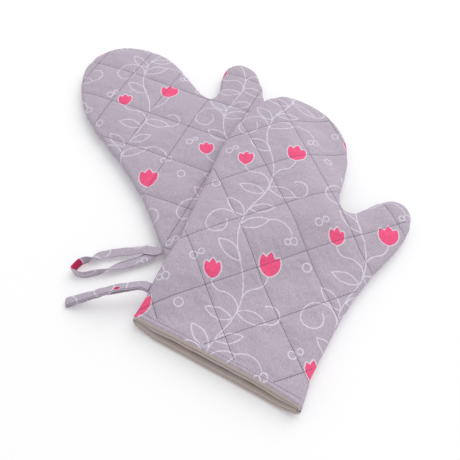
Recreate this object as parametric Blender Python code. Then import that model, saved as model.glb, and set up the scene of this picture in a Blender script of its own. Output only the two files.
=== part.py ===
"""A pair of quilted cotton oven mitts on a table, one lying over the other, each with a hanging loop.

Metres, +Z up. Each mitt is drawn in its own frame, with the middle of the cuff at the origin, the
fingers along +Y, the thumb at +X and the table at z = 0, and is then laid in place. Each half of a
mitt is three sheets, from the outside in: outer cloth, wadding and lining. Every face of every sheet
is the same plan of triangles at its own depth below the outer face, so the sheets nest.
"""
import math

import bmesh
import bpy
from mathutils import Matrix, Vector
from mathutils.bvhtree import BVHTree
from mathutils.geometry import delaunay_2d_cdt

# Outline of a mitt, from the cuff's left corner over the fingers and the thumb to its right corner
MITT_LENGTH = 0.3135
MITT_WIDTH = 0.207
OUTLINE_SHARES = (
    (-0.391, 0.000), (-0.386, 0.126), (-0.396, 0.252), (-0.420, 0.371), (-0.454, 0.497),
    (-0.483, 0.613), (-0.493, 0.723), (-0.478, 0.811), (-0.440, 0.893), (-0.377, 0.953),
    (-0.300, 0.987), (-0.217, 1.000), (-0.135, 0.991), (-0.058, 0.965), (0.014, 0.925),
    (0.072, 0.871), (0.111, 0.802), (0.135, 0.723), (0.155, 0.654), (0.184, 0.610),
    (0.222, 0.600), (0.264, 0.624), (0.300, 0.670), (0.345, 0.714), (0.406, 0.736),
    (0.468, 0.726), (0.511, 0.686), (0.519, 0.636), (0.502, 0.568), (0.468, 0.491),
    (0.435, 0.409), (0.411, 0.314), (0.396, 0.220), (0.386, 0.113), (0.391, 0.000),
)
THUMB_SPINE_SHARES = ((0.325, 0.500), (0.370, 0.585), (0.410, 0.668))
OUTLINE_STEP = 0.026
OUTLINE_TURN = math.radians(27)
CURVE_STEPS = 8

# How the lower mitt's outline differs: more cuff beyond the seam, a closer left side, a lower thumb
UNDER_CUFF_EXTRA = 0.0100
UNDER_SLIM = 0.0055
SLIM_FULL_SHARE = 0.35
SLIM_END_SHARE = 0.65
UNDER_THUMB_DROP = 0.0018
THUMB_SIDE_SHARE = 0.14
THUMB_FOOT_SHARE = 0.56

# Sheets of one half, and the clearance that keeps neighbours apart
OUTER_CLOTH = 0.0008
WADDING = 0.0030
LINING_CLOTH = 0.0006
LAYER_GAP = 0.0003

# Cross-section of a half: a rounded edge at the side seam, then a crown over the hand
EDGE_HALF_DEPTH = 0.0058
EDGE_RADIUS = 0.0070
CROWN = 0.0030
TOP_CROWN_REACH = 0.045
BOTTOM_CROWN_REACH = 0.022
RIM_STEPS = 2
LINING_RIM_STEPS = 1

# Quilting: a square grid of stitched channels across the cloth
QUILT_CELL = 0.050
CHANNEL_DEPTH = 0.0013
LINING_RELIEF_SHARE = 0.2
RIM_RELIEF_SHARE = 0.6
QUILT_MARGIN = 0.006

# Cuff: a stitched hem, and an end that leans back towards the top
HEM = 0.0045
CUFF_SLANT = 0.0045
SLANT_REACH = 0.060
CUFF_STEP = 0.026

# Threads, laid in the channels as flat strands, and the seam's thread in the corner of the hand space
THREAD_WIDTH = 0.0008
THREAD_HEIGHT = 0.0004
SEAM_THREAD_RADIUS = 0.00035

# Where each mitt lies: the middle of its cuff, its turn, and one crossing of its quilting
UNDER_CUFF_X = 0.0077
UNDER_CUFF_Y = -0.0113
UNDER_TURN = math.radians(21.6)
UNDER_QUILT_X = -0.0324
UNDER_QUILT_Y = 0.2555
UNDER_QUILT_TURN = math.radians(-46.2)
OVER_CUFF_X = -0.0144
OVER_CUFF_Y = -0.1355
OVER_TURN = math.radians(-28.5)
OVER_QUILT_X = -0.1501
OVER_QUILT_Y = 0.1501
OVER_QUILT_TURN = math.radians(49.1)
MITT_GAP = 0.0004
DRAPE_LENGTH = 0.064
SEATED_SHARE = 0.5

# Hanging loops: a tape sewn into the side seam above the cuff, out and back again
TAPE_WIDTH = 0.0090
TAPE_THICKNESS = 0.0015
LOOP_SEAM_GAP = 0.0004
LOOP_FLOOR_GAP = 0.0002
LOOP_LEAD = 0.0050
LOOP_HINGE_OFFSET = 0.0045
LOOP_EASE_SHARE = 0.5

# The lower mitt's loop: shares of its length with the shares of its opening, then where the strands
# stop lying over each other, and where the tape twists on to its edge on the way out and back
UNDER_LOOP_ROOT = 0.0215
UNDER_LOOP_LENGTH = 0.0845
UNDER_LOOP_TURN = math.radians(-11.6)
UNDER_LOOP_OPEN = 0.0175
UNDER_LOOP_SHARES = (
    (0.00, 0.00), (0.06, 0.00), (0.17, 0.42), (0.35, 0.72), (0.60, 0.96), (0.85, 0.86),
)
UNDER_LOOP_STEPS = 3
PARTING_SHARE = 0.22
TWIST_START_SHARE = 0.18
TWIST_SHARE = 0.32

# The upper mitt's loop: shares of its length, its opening, its arch and how far its near edge rises
OVER_LOOP_ROOT = 0.0275
OVER_LOOP_LENGTH = 0.0792
OVER_LOOP_TURN = math.radians(35.5)
OVER_LOOP_OPEN = 0.0024
OVER_LOOP_ARCH = 0.0062
OVER_LOOP_ROLL_SHARE = 0.32
OVER_LOOP_SHARES = (0.0, 0.1, 0.3, 0.5, 0.7, 0.97)
OVER_LOOP_STEPS = 2

# Finish of the meshes: where shading stays sharp, and how near two places are when they are the same
SHARP_ANGLE = math.radians(50)
SAME_SHARE = 0.01

# Depths of the sheets' faces below the outer face
WADDING_DEPTH = OUTER_CLOTH + LAYER_GAP
LINING_DEPTH = WADDING_DEPTH + WADDING + LAYER_GAP
WALL = LINING_DEPTH + LINING_CLOTH
MID_HEIGHT = EDGE_HALF_DEPTH + CROWN

COLOURS = {
    "outer": (0.48, 0.41, 0.49, 1.0),
    "wadding": (0.86, 0.85, 0.82, 1.0),
    "lining": (0.38, 0.32, 0.31, 1.0),
    "thread": (0.16, 0.12, 0.17, 1.0),
    "tape": (0.44, 0.37, 0.44, 1.0),
}
CLOTH_ROUGHNESS = 0.9


def smooth_path(points, steps):
    """A smooth curve through all the points, with so many steps between each two."""
    path = []
    last = len(points) - 1
    for i in range(last):
        a = points[max(i - 1, 0)]
        b = points[i]
        c = points[i + 1]
        d = points[min(i + 2, last)]
        for step in range(steps):
            t = step / steps
            path.append(0.5 * (2.0 * b + (c - a) * t + (2.0 * a - 5.0 * b + 4.0 * c - d) * t ** 2
                               + (3.0 * b - a - 3.0 * c + d) * t ** 3))
    path.append(points[last].copy())
    return path


def nearest_distance(point, path):
    """Distance in the plane from a point to a path."""
    best = math.inf
    for a, b in zip(path, path[1:]):
        along = b - a
        t = (point - a).dot(along) / along.length_squared
        t = min(max(t, 0.0), 1.0)
        best = min(best, (a + t * along - point).length)
    return best


def is_inside(point, loop):
    """Whether a point of the plane lies inside a closed loop."""
    inside = False
    for a, b in zip(loop, loop[1:] + loop[:1]):
        if (a.y > point.y) != (b.y > point.y):
            if point.x < a.x + (point.y - a.y) / (b.y - a.y) * (b.x - a.x):
                inside = not inside
    return inside


def inward_normals(path):
    """Unit normals to the right of the path, which is inwards. Both cuff ends are kept level."""
    normals = []
    last = len(path) - 1
    for i in range(len(path)):
        along = (path[min(i + 1, last)] - path[max(i - 1, 0)]).normalized()
        normals.append(Vector((along.y, -along.x)))
    normals[0] = Vector((1.0, 0.0))
    normals[last] = Vector((-1.0, 0.0))
    return normals


def rounded(value):
    """A quarter round from 0 to 1, level after that."""
    t = min(max(value, 0.0), 1.0)
    return 1.0 - (1.0 - t) ** 2


def smoothstep(value):
    """An S-shaped ramp from 0 to 1."""
    t = min(max(value, 0.0), 1.0)
    return t * t * (3.0 - 2.0 * t)


def side_seam(cuff_extra, slim, thumb_drop):
    """The side seam from cuff to cuff, as it lies with a longer cuff, a closer side, a lower thumb."""
    points = []
    for x, y in OUTLINE_SHARES:
        spot = Vector((x * MITT_WIDTH, y * MITT_LENGTH))
        if x < 0.0:
            ease = (y - SLIM_FULL_SHARE) / (SLIM_END_SHARE - SLIM_FULL_SHARE)
            spot.x += slim * (1.0 - smoothstep(ease))
        elif x > THUMB_SIDE_SHARE and y > THUMB_FOOT_SHARE:
            spot.y -= thumb_drop
        points.append(spot)
    if cuff_extra > 0.0:
        points.insert(0, Vector((points[0].x, -cuff_extra)))
        points.append(Vector((points[-1].x, -cuff_extra)))
    return smooth_path(points, CURVE_STEPS)


class Quilting:
    """The square grid of channels of one mitt, with coordinates counted in cells."""

    def __init__(self, x, y, turn):
        self.origin = Vector((x, y))
        self.along = Vector((math.cos(turn), math.sin(turn)))
        self.across = Vector((-math.sin(turn), math.cos(turn)))

    def cells(self, point):
        offset = point - self.origin
        return (offset.dot(self.along) / QUILT_CELL, offset.dot(self.across) / QUILT_CELL)

    def point(self, a, b):
        return self.origin + (self.along * a + self.across * b) * QUILT_CELL


class Plan:
    """The triangles that every face of one mitt's sheets shares.

    Rings of points follow the side seam inwards over the rounded edge. Inside the last ring the
    plan is a triangulation that keeps each channel as a line of edges. The quilted faces also have
    the pillows' corners, four in each cell, and the smooth faces leave them out.
    """

    def __init__(self, seam, quilting):
        self.seam = seam
        self.seam_normals = inward_normals(seam)
        self.cuff_y = seam[0].y
        self.hem_y = self.cuff_y + HEM
        self.quilting = quilting
        self.sample_sides()
        self.collect_lines()
        self.triangulate()

    def sample_sides(self):
        """Points of the side seam: at every channel's end, and evenly by length and turn between."""
        inner = [p + n * EDGE_RADIUS for p, n in zip(self.seam, self.seam_normals)]
        fixed = [(0.0, None)]
        for i in range(len(inner) - 1):
            ends = (self.quilting.cells(inner[i]), self.quilting.cells(inner[i + 1]))
            for family in (0, 1):
                a = ends[0][family]
                b = ends[1][family]
                for line in range(math.ceil(min(a, b)), math.floor(max(a, b)) + 1):
                    fixed.append((i + (line - a) / (b - a), (family, line)))
        fixed.append((float(len(inner) - 1), None))
        fixed.sort(key=lambda entry: entry[0])
        self.side = []
        for (start, line), (end, _) in zip(fixed, fixed[1:]):
            parts = max(1, math.ceil(self.effort(start, end)))
            for part in range(parts):
                self.side.append((start + (end - start) * part / parts, line if part == 0 else None))
        self.side.append(fixed[-1])
        self.base = [self.at(self.seam, t) for t, _ in self.side]
        self.normal = [self.at(self.seam_normals, t).normalized() for t, _ in self.side]

    def effort(self, start, end):
        """How many steps the stretch of the side seam between two places asks for."""
        stops = [start] + list(range(math.floor(start) + 1, math.ceil(end))) + [end]
        points = [self.at(self.seam, t) for t in stops]
        length = sum((b - a).length for a, b in zip(points, points[1:]))
        turn = self.at(self.seam_normals, start).angle(self.at(self.seam_normals, end))
        return max(length / OUTLINE_STEP, turn / OUTLINE_TURN)

    @staticmethod
    def at(values, t):
        """A value between two entries of a list."""
        i = min(int(t), len(values) - 2)
        return values[i].lerp(values[i + 1], t - i)

    def collect_lines(self):
        """Places along each channel, the cuff's edge and its hem, inside the last ring."""
        self.points = []
        self.relief = []
        self.lines = {}
        for (t, line), base, normal in zip(self.side, self.base, self.normal):
            self.add(base + normal * EDGE_RADIUS, RIM_RELIEF_SHARE if line else 0.0, line)
        self.ring_count = len(self.points)
        left = self.points[0].x
        right = self.points[-1].x
        crossings = []
        for family in (0, 1):
            for y in (self.cuff_y, self.hem_y):
                a = self.quilting.cells(Vector((left, y)))[family]
                b = self.quilting.cells(Vector((right, y)))[family]
                for line in range(math.ceil(min(a, b)), math.floor(max(a, b)) + 1):
                    x = left + (right - left) * (line - a) / (b - a)
                    crossings.append((y, x, (family, line)))
        for y in (self.cuff_y, self.hem_y):
            stops = sorted([(x, line) for level, x, line in crossings if level == y])
            stops = [(left, None)] + stops + [(right, None)]
            for (start, line), (end, _) in zip(stops, stops[1:]):
                parts = max(1, math.ceil((end - start) / CUFF_STEP))
                for part in range(parts):
                    x = start + (end - start) * part / parts
                    if x - left > LAYER_GAP:
                        share = 1.0 if y == self.hem_y or line and part == 0 else 0.0
                        self.add(Vector((x, y)), share, line if part == 0 else None)
                        if y == self.hem_y:
                            self.lines.setdefault("hem", []).append(len(self.points) - 1)
            if y == self.cuff_y:
                self.cuff_count = len(self.points) - self.ring_count
        self.loop = [p.copy() for p in self.points[:self.ring_count + self.cuff_count]]
        self.loop[self.ring_count:] = self.loop[self.ring_count:][::-1]
        self.add_grid()

    def add(self, point, relief, *lines):
        self.points.append(point)
        self.relief.append(relief)
        for line in lines:
            if line:
                self.lines.setdefault(line, []).append(len(self.points) - 1)

    def add_grid(self):
        """The grid's crossings, the middles of its sides, and four corners of a pillow in each cell."""
        corners = [self.quilting.cells(Vector((x, y))) for x in (-MITT_WIDTH, MITT_WIDTH)
                   for y in (self.cuff_y, MITT_LENGTH)]
        spans = [range(math.floor(min(c[i] for c in corners)), math.ceil(max(c[i] for c in corners)) + 1)
                 for i in (0, 1)]
        quarter = 0.25
        half = 0.5
        for a in spans[0]:
            for b in spans[1]:
                self.add_inside(a, b, 1.0, (0, a), (1, b))
                self.add_inside(a + half, b, 1.0, (1, b))
                self.add_inside(a, b + half, 1.0, (0, a))
        self.add_thumb_spine()
        self.smooth_count = len(self.points)
        for a in spans[0]:
            for b in spans[1]:
                for da in (-quarter, quarter):
                    for db in (-quarter, quarter):
                        self.add_inside(a + half + da, b + half + db, 0.0)

    def add_thumb_spine(self):
        """Places along the middle of the thumb, each moved on to a channel that passes close by."""
        for x, y in THUMB_SPINE_SHARES:
            cells = list(self.quilting.cells(Vector((x * MITT_WIDTH, y * MITT_LENGTH))))
            lines = []
            for family in (0, 1):
                nearest = round(cells[family])
                if abs(cells[family] - nearest) * QUILT_CELL < QUILT_MARGIN:
                    cells[family] = nearest
                    lines.append((family, nearest))
            if len(lines) < 2:
                self.add_inside(cells[0], cells[1], 1.0 if lines else 0.0, *lines)

    def add_inside(self, a, b, relief, *lines):
        """Adds a place of the grid if it lies clear of the last ring and the hem."""
        point = self.quilting.point(a, b)
        clear = is_inside(point, self.loop) and point.y > self.hem_y + QUILT_MARGIN
        if clear and nearest_distance(point, self.loop[:self.ring_count]) > QUILT_MARGIN:
            self.add(point, relief, *lines)

    def triangulate(self):
        """Joins the places along each line, and fills between them with triangles."""
        edges = []
        self.runs = {}
        for line, members in self.lines.items():
            if line == "hem":
                members = [0] + members + [self.ring_count - 1]
                edges += zip(members[1:-2], members[2:-1])
                self.runs[line] = [members[1:-1]]
                continue
            axis = self.quilting.across if line[0] == 0 else self.quilting.along
            members.sort(key=lambda i: self.points[i].dot(axis))
            run = [members[0]]
            self.runs[line] = []
            for a, b in zip(members, members[1:]):
                if is_inside((self.points[a] + self.points[b]) * 0.5, self.loop):
                    edges.append((a, b))
                    run.append(b)
                else:
                    self.runs[line].append(run)
                    run = [b]
            self.runs[line].append(run)
        ring = list(range(self.ring_count))
        cuff = list(range(self.ring_count, self.ring_count + self.cuff_count))
        boundary = ring + cuff[::-1]
        self.smooth = self.fill(self.points[:self.smooth_count], edges, boundary)
        self.quilted = self.fill(self.points, edges, boundary)
        self.depth_in = []
        for point in self.points:
            self.depth_in.append(nearest_distance(point, self.seam) - EDGE_RADIUS)

    def fill(self, points, edges, boundary):
        """Triangles between the places, with a place of its own where two channels cross unmarked."""
        same = LAYER_GAP * SAME_SHARE
        result = delaunay_2d_cdt(points, edges, [boundary], 1, same)
        found = []
        for spot, sources in zip(result[0], result[3]):
            if sources:
                found.append(sources[0])
                continue
            near = [i for i, p in enumerate(self.points) if (p - spot).length < same]
            if not near:
                near = [len(self.points)]
                self.add(spot.copy(), 1.0)
                self.join_runs(near[0], same)
            found.append(near[0])
        return [[found[v] for v in face] for face in result[2]]

    def join_runs(self, index, same):
        """Takes a place into each run of a channel that passes through it."""
        for run in [run for runs in self.runs.values() for run in runs]:
            for k in range(len(run) - 1):
                ends = [self.points[run[k]], self.points[run[k + 1]]]
                if nearest_distance(self.points[index], ends) < same:
                    run.insert(k + 1, index)
                    break

    def surface(self, side, depth, quilted, cuff_inset, lip_depth=None, rim_rows=RIM_STEPS):
        """Points, faces and border of one face of a sheet, at a depth below the outer face."""
        reach = TOP_CROWN_REACH if side > 0 else BOTTOM_CROWN_REACH
        relief_share = 1.0 if quilted else LINING_RELIEF_SHARE
        floor = 0.5 * LAYER_GAP
        count = self.ring_count
        points = []
        for row in range(rim_rows):
            angle = 0.5 * math.pi * row / rim_rows
            inset = EDGE_RADIUS - (EDGE_RADIUS - depth) * math.cos(angle)
            rise = floor + (EDGE_HALF_DEPTH - floor - depth) * math.sin(angle)
            for base, normal in zip(self.base, self.normal):
                place = base + normal * inset
                points.append(Vector((place.x, place.y, MID_HEIGHT + side * rise)))
        for point, relief, inner in zip(self.points, self.relief, self.depth_in):
            rise = EDGE_HALF_DEPTH + CROWN * rounded(inner / reach) - depth
            rise -= relief * relief_share * CHANNEL_DEPTH
            points.append(Vector((point.x, point.y, MID_HEIGHT + side * rise)))
        first = rim_rows * count
        rows = [row * count for row in range(rim_rows + 1)]
        cuff = [first + count + i for i in range(self.cuff_count)]
        left = rows
        right = [row + count - 1 for row in rows]
        cuff_line = right + cuff[::-1] + left[::-1]
        for i in cuff_line:
            points[i].y = self.cuff_y + cuff_inset
        faces = []
        for row in range(rim_rows):
            for k in range(count - 1):
                a = row * count + k
                faces.append((a, a + 1, a + 1 + count, a + count))
        for triangle in self.quilted if quilted else self.smooth:
            faces.append(tuple(first + i for i in triangle))
        border = list(range(count))
        if lip_depth is None:
            return points, faces, border + cuff_line[1:-1]
        lip = self.surface(side, lip_depth, False, cuff_inset)[0]
        start = len(points)
        for i in cuff_line:
            points.append(lip[i])
        for i in range(len(cuff_line) - 1):
            faces.append((cuff_line[i], cuff_line[i + 1], start + i + 1, start + i))
        return points, faces, border + [start + i for i in range(len(cuff_line))]


def closed_body(outer, inner):
    """Joins two faces of a sheet along their borders into one closed body."""
    bm = bmesh.new()
    borders = []
    for points, faces, border in (outer, inner):
        verts = [bm.verts.new(p) for p in points]
        for face in faces:
            bm.faces.new([verts[i] for i in face])
        borders.append([verts[i] for i in border])
        bmesh.ops.delete(bm, geom=[v for v in verts if not v.link_faces], context='VERTS')
    count = len(borders[0])
    for i in range(count):
        j = (i + 1) % count
        bm.faces.new((borders[0][i], borders[0][j], borders[1][j], borders[1][i]))
    bmesh.ops.triangulate(bm, faces=[f for f in bm.faces if len(f.verts) > 3])
    bmesh.ops.recalc_face_normals(bm, faces=bm.faces)
    return bm


class Mitt:
    """One mitt: its plan, where it lies, and what lifts it."""

    def __init__(self, name, x, y, turn, plan):
        self.name = name
        self.plan = plan
        self.turn = Matrix.Rotation(turn, 2)
        self.cuff = Vector((x, y))
        self.seat = None
        self.lift_height = 0.0
        self.side_world = [self.cuff + self.turn @ p for p in plan.seam]

    def flat(self, x, y, z):
        """A place of the mitt's own frame on the table, with the cuff's end leaning back."""
        lean = max(0.0, 1.0 - (y - self.plan.cuff_y) / SLANT_REACH)
        lean *= CUFF_SLANT * (z / MID_HEIGHT - 1.0)
        spot = self.cuff + self.turn @ Vector((x, y + lean))
        return Vector((spot.x, spot.y, z))

    def drape(self, spot):
        """How much of the full lift a place of the table gets, from the mitt that lies there."""
        if self.seat is None:
            return 0.0
        point = Vector((spot.x, spot.y))
        outline = self.seat.side_world
        if is_inside(point, outline):
            return 1.0
        distance = nearest_distance(point, outline + outline[:1])
        return 1.0 - smoothstep(distance / DRAPE_LENGTH)

    def place(self, point):
        spot = self.flat(point.x, point.y, point.z)
        spot.z += self.lift_height * self.drape(spot)
        return spot

    def on_outer_face(self, side, spots):
        """Where places of the mitt's own plan come to lie on the outer face of one half."""
        points, faces, _ = self.plan.surface(side, 0.0, True, 0.0)
        own = BVHTree.FromPolygons(points, faces)
        placed = BVHTree.FromPolygons([self.place(p) for p in points], faces)
        far = Vector((0.0, 0.0, side * MITT_LENGTH))
        found = []
        for spot in spots:
            hit = own.ray_cast(Vector((spot.x, spot.y, 0.0)) + far, -far)[0]
            start = self.flat(spot.x, spot.y, hit.z) + far
            found.append(placed.ray_cast(start, -far)[0])
        return found


def cloth_material(name):
    """One rough material for each kind of piece."""
    material = bpy.data.materials.get(name)
    if material is None:
        material = bpy.data.materials.new(name)
        material.use_nodes = True
        shader = material.node_tree.nodes["Principled BSDF"]
        shader.inputs["Base Color"].default_value = COLOURS[name]
        shader.inputs["Roughness"].default_value = CLOTH_ROUGHNESS
        shader.inputs["Metallic"].default_value = 0.0
        material.diffuse_color = COLOURS[name]
    return material


def add_object(name, bm, kind, parent, collection):
    """Turns a mesh in world coordinates into a named piece under its parent."""
    mesh = bpy.data.meshes.new(name)
    bm.to_mesh(mesh)
    bm.free()
    mesh.shade_smooth()
    mesh.set_sharp_from_angle(angle=SHARP_ANGLE)
    piece = bpy.data.objects.new(name, mesh)
    piece.data.materials.append(cloth_material(kind))
    piece.parent = parent
    mesh.transform(Matrix.Translation(-parent.location))
    collection.objects.link(piece)
    return piece


def sheet(mitt, side, layer):
    """One sheet of one half of a mitt: outer cloth, wadding or lining."""
    plan = mitt.plan
    if layer == "outer":
        lip = WADDING_DEPTH + WADDING
        outer = plan.surface(side, 0.0, True, 0.0, lip)
        inner = plan.surface(side, OUTER_CLOTH, True, OUTER_CLOTH, lip)
    elif layer == "wadding":
        outer = plan.surface(side, WADDING_DEPTH, True, WADDING_DEPTH)
        inner = plan.surface(side, WADDING_DEPTH + WADDING, False, WADDING_DEPTH)
    else:
        outer = plan.surface(side, LINING_DEPTH, False, 0.0, rim_rows=LINING_RIM_STEPS)
        inner = plan.surface(side, WALL, False, 0.0, rim_rows=LINING_RIM_STEPS)
    bm = closed_body(outer, inner)
    for vert in bm.verts:
        vert.co = mitt.place(vert.co)
    bmesh.ops.recalc_face_normals(bm, faces=bm.faces)
    return bm


def connected_runs(plan):
    """The channels' runs that meet each other in one net, the largest such net of the mitt."""
    runs = [run for line, group in plan.runs.items() if line != "hem" for run in group if len(run) > 1]
    nets = []
    for run in runs:
        touching = [net for net in nets if any(set(run) & set(other) for other in net)]
        for net in touching:
            nets.remove(net)
        nets.append([run] + [other for net in touching for other in net])
    return max(nets, key=lambda net: sum(len(run) for run in net))


def strand_outline(plan, run):
    """Both edges of a flat strand that follows a run of places, kept clear of the hem's own."""
    half = 0.5 * THREAD_WIDTH
    stop = plan.hem_y + THREAD_WIDTH
    points = [plan.points[i] for i in run]
    ring = [i < plan.ring_count + plan.cuff_count for i in run]
    if run is not plan.runs["hem"][0]:
        if points[0].y > points[-1].y:
            points.reverse()
            ring.reverse()
        while len(points) > 1 and points[1].y < stop:
            points.pop(0)
            ring.pop(0)
        if points[0].y < stop:
            t = (stop - points[0].y) / (points[1].y - points[0].y)
            points[0] = points[0].lerp(points[1], t)
            ring[0] = False
        for end, other in ((0, 1), (-1, -2)):
            if ring[end]:
                along = (points[other] - points[end]).normalized()
                points[end] = points[end] + along * THREAD_WIDTH
    left = []
    right = []
    for i, point in enumerate(points):
        along = (points[min(i + 1, len(points) - 1)] - points[max(i - 1, 0)]).normalized()
        side = Vector((-along.y, along.x)) * half
        left.append(point + side)
        right.append(point - side)
    return right + left[::-1]


def strands(mitt, side, runs):
    """A net of flat strands over the outer face of one half."""
    points = []
    faces = []
    for run in runs:
        outline = strand_outline(mitt.plan, run)
        faces.append(list(range(len(points), len(points) + len(outline))))
        points += outline
    result = delaunay_2d_cdt(points, [], faces, 0, THREAD_WIDTH * SAME_SHARE)
    kept = [face for face, sources in zip(result[2], result[5]) if sources]
    raised = Vector((0.0, 0.0, side * (LAYER_GAP + THREAD_HEIGHT)))
    bm = bmesh.new()
    verts = [bm.verts.new(spot + raised) for spot in mitt.on_outer_face(side, result[0])]
    for face in kept:
        bm.faces.new([verts[i] for i in face])
    bmesh.ops.delete(bm, geom=[v for v in bm.verts if not v.link_faces], context='VERTS')
    top = list(bm.faces)
    grown = bmesh.ops.extrude_face_region(bm, geom=top, use_keep_orig=True)
    for item in grown["geom"]:
        if isinstance(item, bmesh.types.BMVert):
            item.co.z -= side * THREAD_HEIGHT
    bmesh.ops.triangulate(bm, faces=[f for f in bm.faces if len(f.verts) > 3])
    bmesh.ops.recalc_face_normals(bm, faces=bm.faces)
    return bm


def tube_body(points, radius):
    """A thin tube through the points, made from a curve with filled caps."""
    curve = bpy.data.curves.new("tube", 'CURVE')
    curve.dimensions = '3D'
    curve.bevel_depth = radius
    curve.bevel_resolution = 0
    curve.use_fill_caps = True
    spline = curve.splines.new('POLY')
    spline.points.add(len(points) - 1)
    for knot, point in zip(spline.points, points):
        knot.co = (point.x, point.y, point.z, 1.0)
    source = bpy.data.objects.new("tube", curve)
    bpy.context.scene.collection.objects.link(source)
    bpy.context.view_layer.update()
    graph = bpy.context.evaluated_depsgraph_get()
    mesh = bpy.data.meshes.new_from_object(source.evaluated_get(graph))
    bm = bmesh.new()
    bm.from_mesh(mesh)
    bmesh.ops.remove_doubles(bm, verts=bm.verts, dist=radius * SAME_SHARE)
    bmesh.ops.recalc_face_normals(bm, faces=bm.faces)
    bpy.data.objects.remove(source)
    bpy.data.curves.remove(curve)
    bpy.data.meshes.remove(mesh)
    return bm


def seam_thread(mitt):
    """The side seam's thread, in the corner of the hand space, round the fingers and the thumb."""
    points = []
    for base, normal in zip(mitt.plan.base, mitt.plan.normal):
        spot = base + normal * EDGE_RADIUS
        points.append(mitt.place(Vector((spot.x, spot.y, MID_HEIGHT))))
    return tube_body(points, SEAM_THREAD_RADIUS)


def tape_body(centres, widths):
    """A flat tape along a route, given the direction of its width at each place."""
    bm = bmesh.new()
    rings = []
    last = len(centres) - 1
    for i, (centre, width) in enumerate(zip(centres, widths)):
        along = (centres[min(i + 1, last)] - centres[max(i - 1, 0)]).normalized()
        face = along.cross(width).normalized() * (0.5 * TAPE_THICKNESS)
        reach = width.normalized() * (0.5 * TAPE_WIDTH)
        corners = (centre + reach + face, centre - reach + face,
                   centre - reach - face, centre + reach - face)
        rings.append([bm.verts.new(c) for c in corners])
    for a, b in zip(rings, rings[1:]):
        for i in range(4):
            j = (i + 1) % 4
            bm.faces.new((a[i], a[j], b[j], b[i]))
    bm.faces.new(rings[0])
    bm.faces.new(rings[-1][::-1])
    bmesh.ops.triangulate(bm, faces=bm.faces)
    bmesh.ops.recalc_face_normals(bm, faces=bm.faces)
    return bm


def loop_root(mitt, above_cuff):
    """The place at the side seam where a loop leaves it, the way out from there, and its hinge."""
    y = mitt.plan.cuff_y + above_cuff
    seam = mitt.plan.seam
    side = min(side_x(seam, y - 0.5 * TAPE_WIDTH), side_x(seam, y + 0.5 * TAPE_WIDTH))
    root = mitt.place(Vector((side - LOOP_SEAM_GAP, y, MID_HEIGHT)))
    outward = (mitt.turn @ Vector((-1.0, 0.0))).to_3d()
    return root, outward, root + outward * LOOP_HINGE_OFFSET


def side_x(seam, y):
    """How far out the left side seam is, level with y."""
    for a, b in zip(seam, seam[1:]):
        if a.y <= y <= b.y:
            return a.x + (b.x - a.x) * (y - a.y) / (b.y - a.y)
    return seam[0].x


def loop_spot(root, outward, turn, reach):
    """A place along a loop's middle line: straight out of the seam, and then turned aside."""
    aside = Matrix.Rotation(turn, 3, 'Z') @ outward
    return root + outward * min(reach, LOOP_LEAD) + aside * max(reach - LOOP_LEAD, 0.0)


def open_loop(mitt):
    """The lower mitt's loop: its strands part, and the tape twists on to its edge round the tip."""
    root, outward, hinge = loop_root(mitt, UNDER_LOOP_ROOT)
    up = Vector((0.0, 0.0, 1.0))
    across = up.cross(Matrix.Rotation(UNDER_LOOP_TURN, 3, 'Z') @ outward)
    stack = 0.5 * (TAPE_THICKNESS + LAYER_GAP)
    rest = LOOP_FLOOR_GAP + 0.5 * TAPE_WIDTH
    knots = []
    for side in (1.0, -1.0):
        strand = []
        for t, spread in UNDER_LOOP_SHARES:
            spot = loop_spot(root, outward, UNDER_LOOP_TURN, UNDER_LOOP_LENGTH * t)
            spot -= across * (side * 0.5 * UNDER_LOOP_OPEN * spread)
            spot.z = root.z + (rest - root.z) * smoothstep(t / LOOP_EASE_SHARE)
            spot.z += side * stack * (1.0 - smoothstep(t / PARTING_SHARE - 1.0))
            strand.append(spot)
        knots.append(strand)
    tip = loop_spot(root, outward, UNDER_LOOP_TURN, UNDER_LOOP_LENGTH)
    tip.z = rest
    centres = smooth_path(knots[0] + [tip] + knots[1][::-1], UNDER_LOOP_STEPS)
    widths = []
    last = len(centres) - 1
    for i in range(len(centres)):
        along = centres[min(i + 1, last)] - centres[max(i - 1, 0)]
        along.z = 0.0
        left = up.cross(outward if i in (0, last) else along.normalized())
        share = i / last
        out = smoothstep((share - TWIST_START_SHARE) / TWIST_SHARE)
        back = smoothstep((share - 0.5) / TWIST_SHARE)
        roll = 0.5 * math.pi * (out + back)
        widths.append(left * math.cos(roll) - up * math.sin(roll))
    return tape_body(centres, widths), hinge


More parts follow.
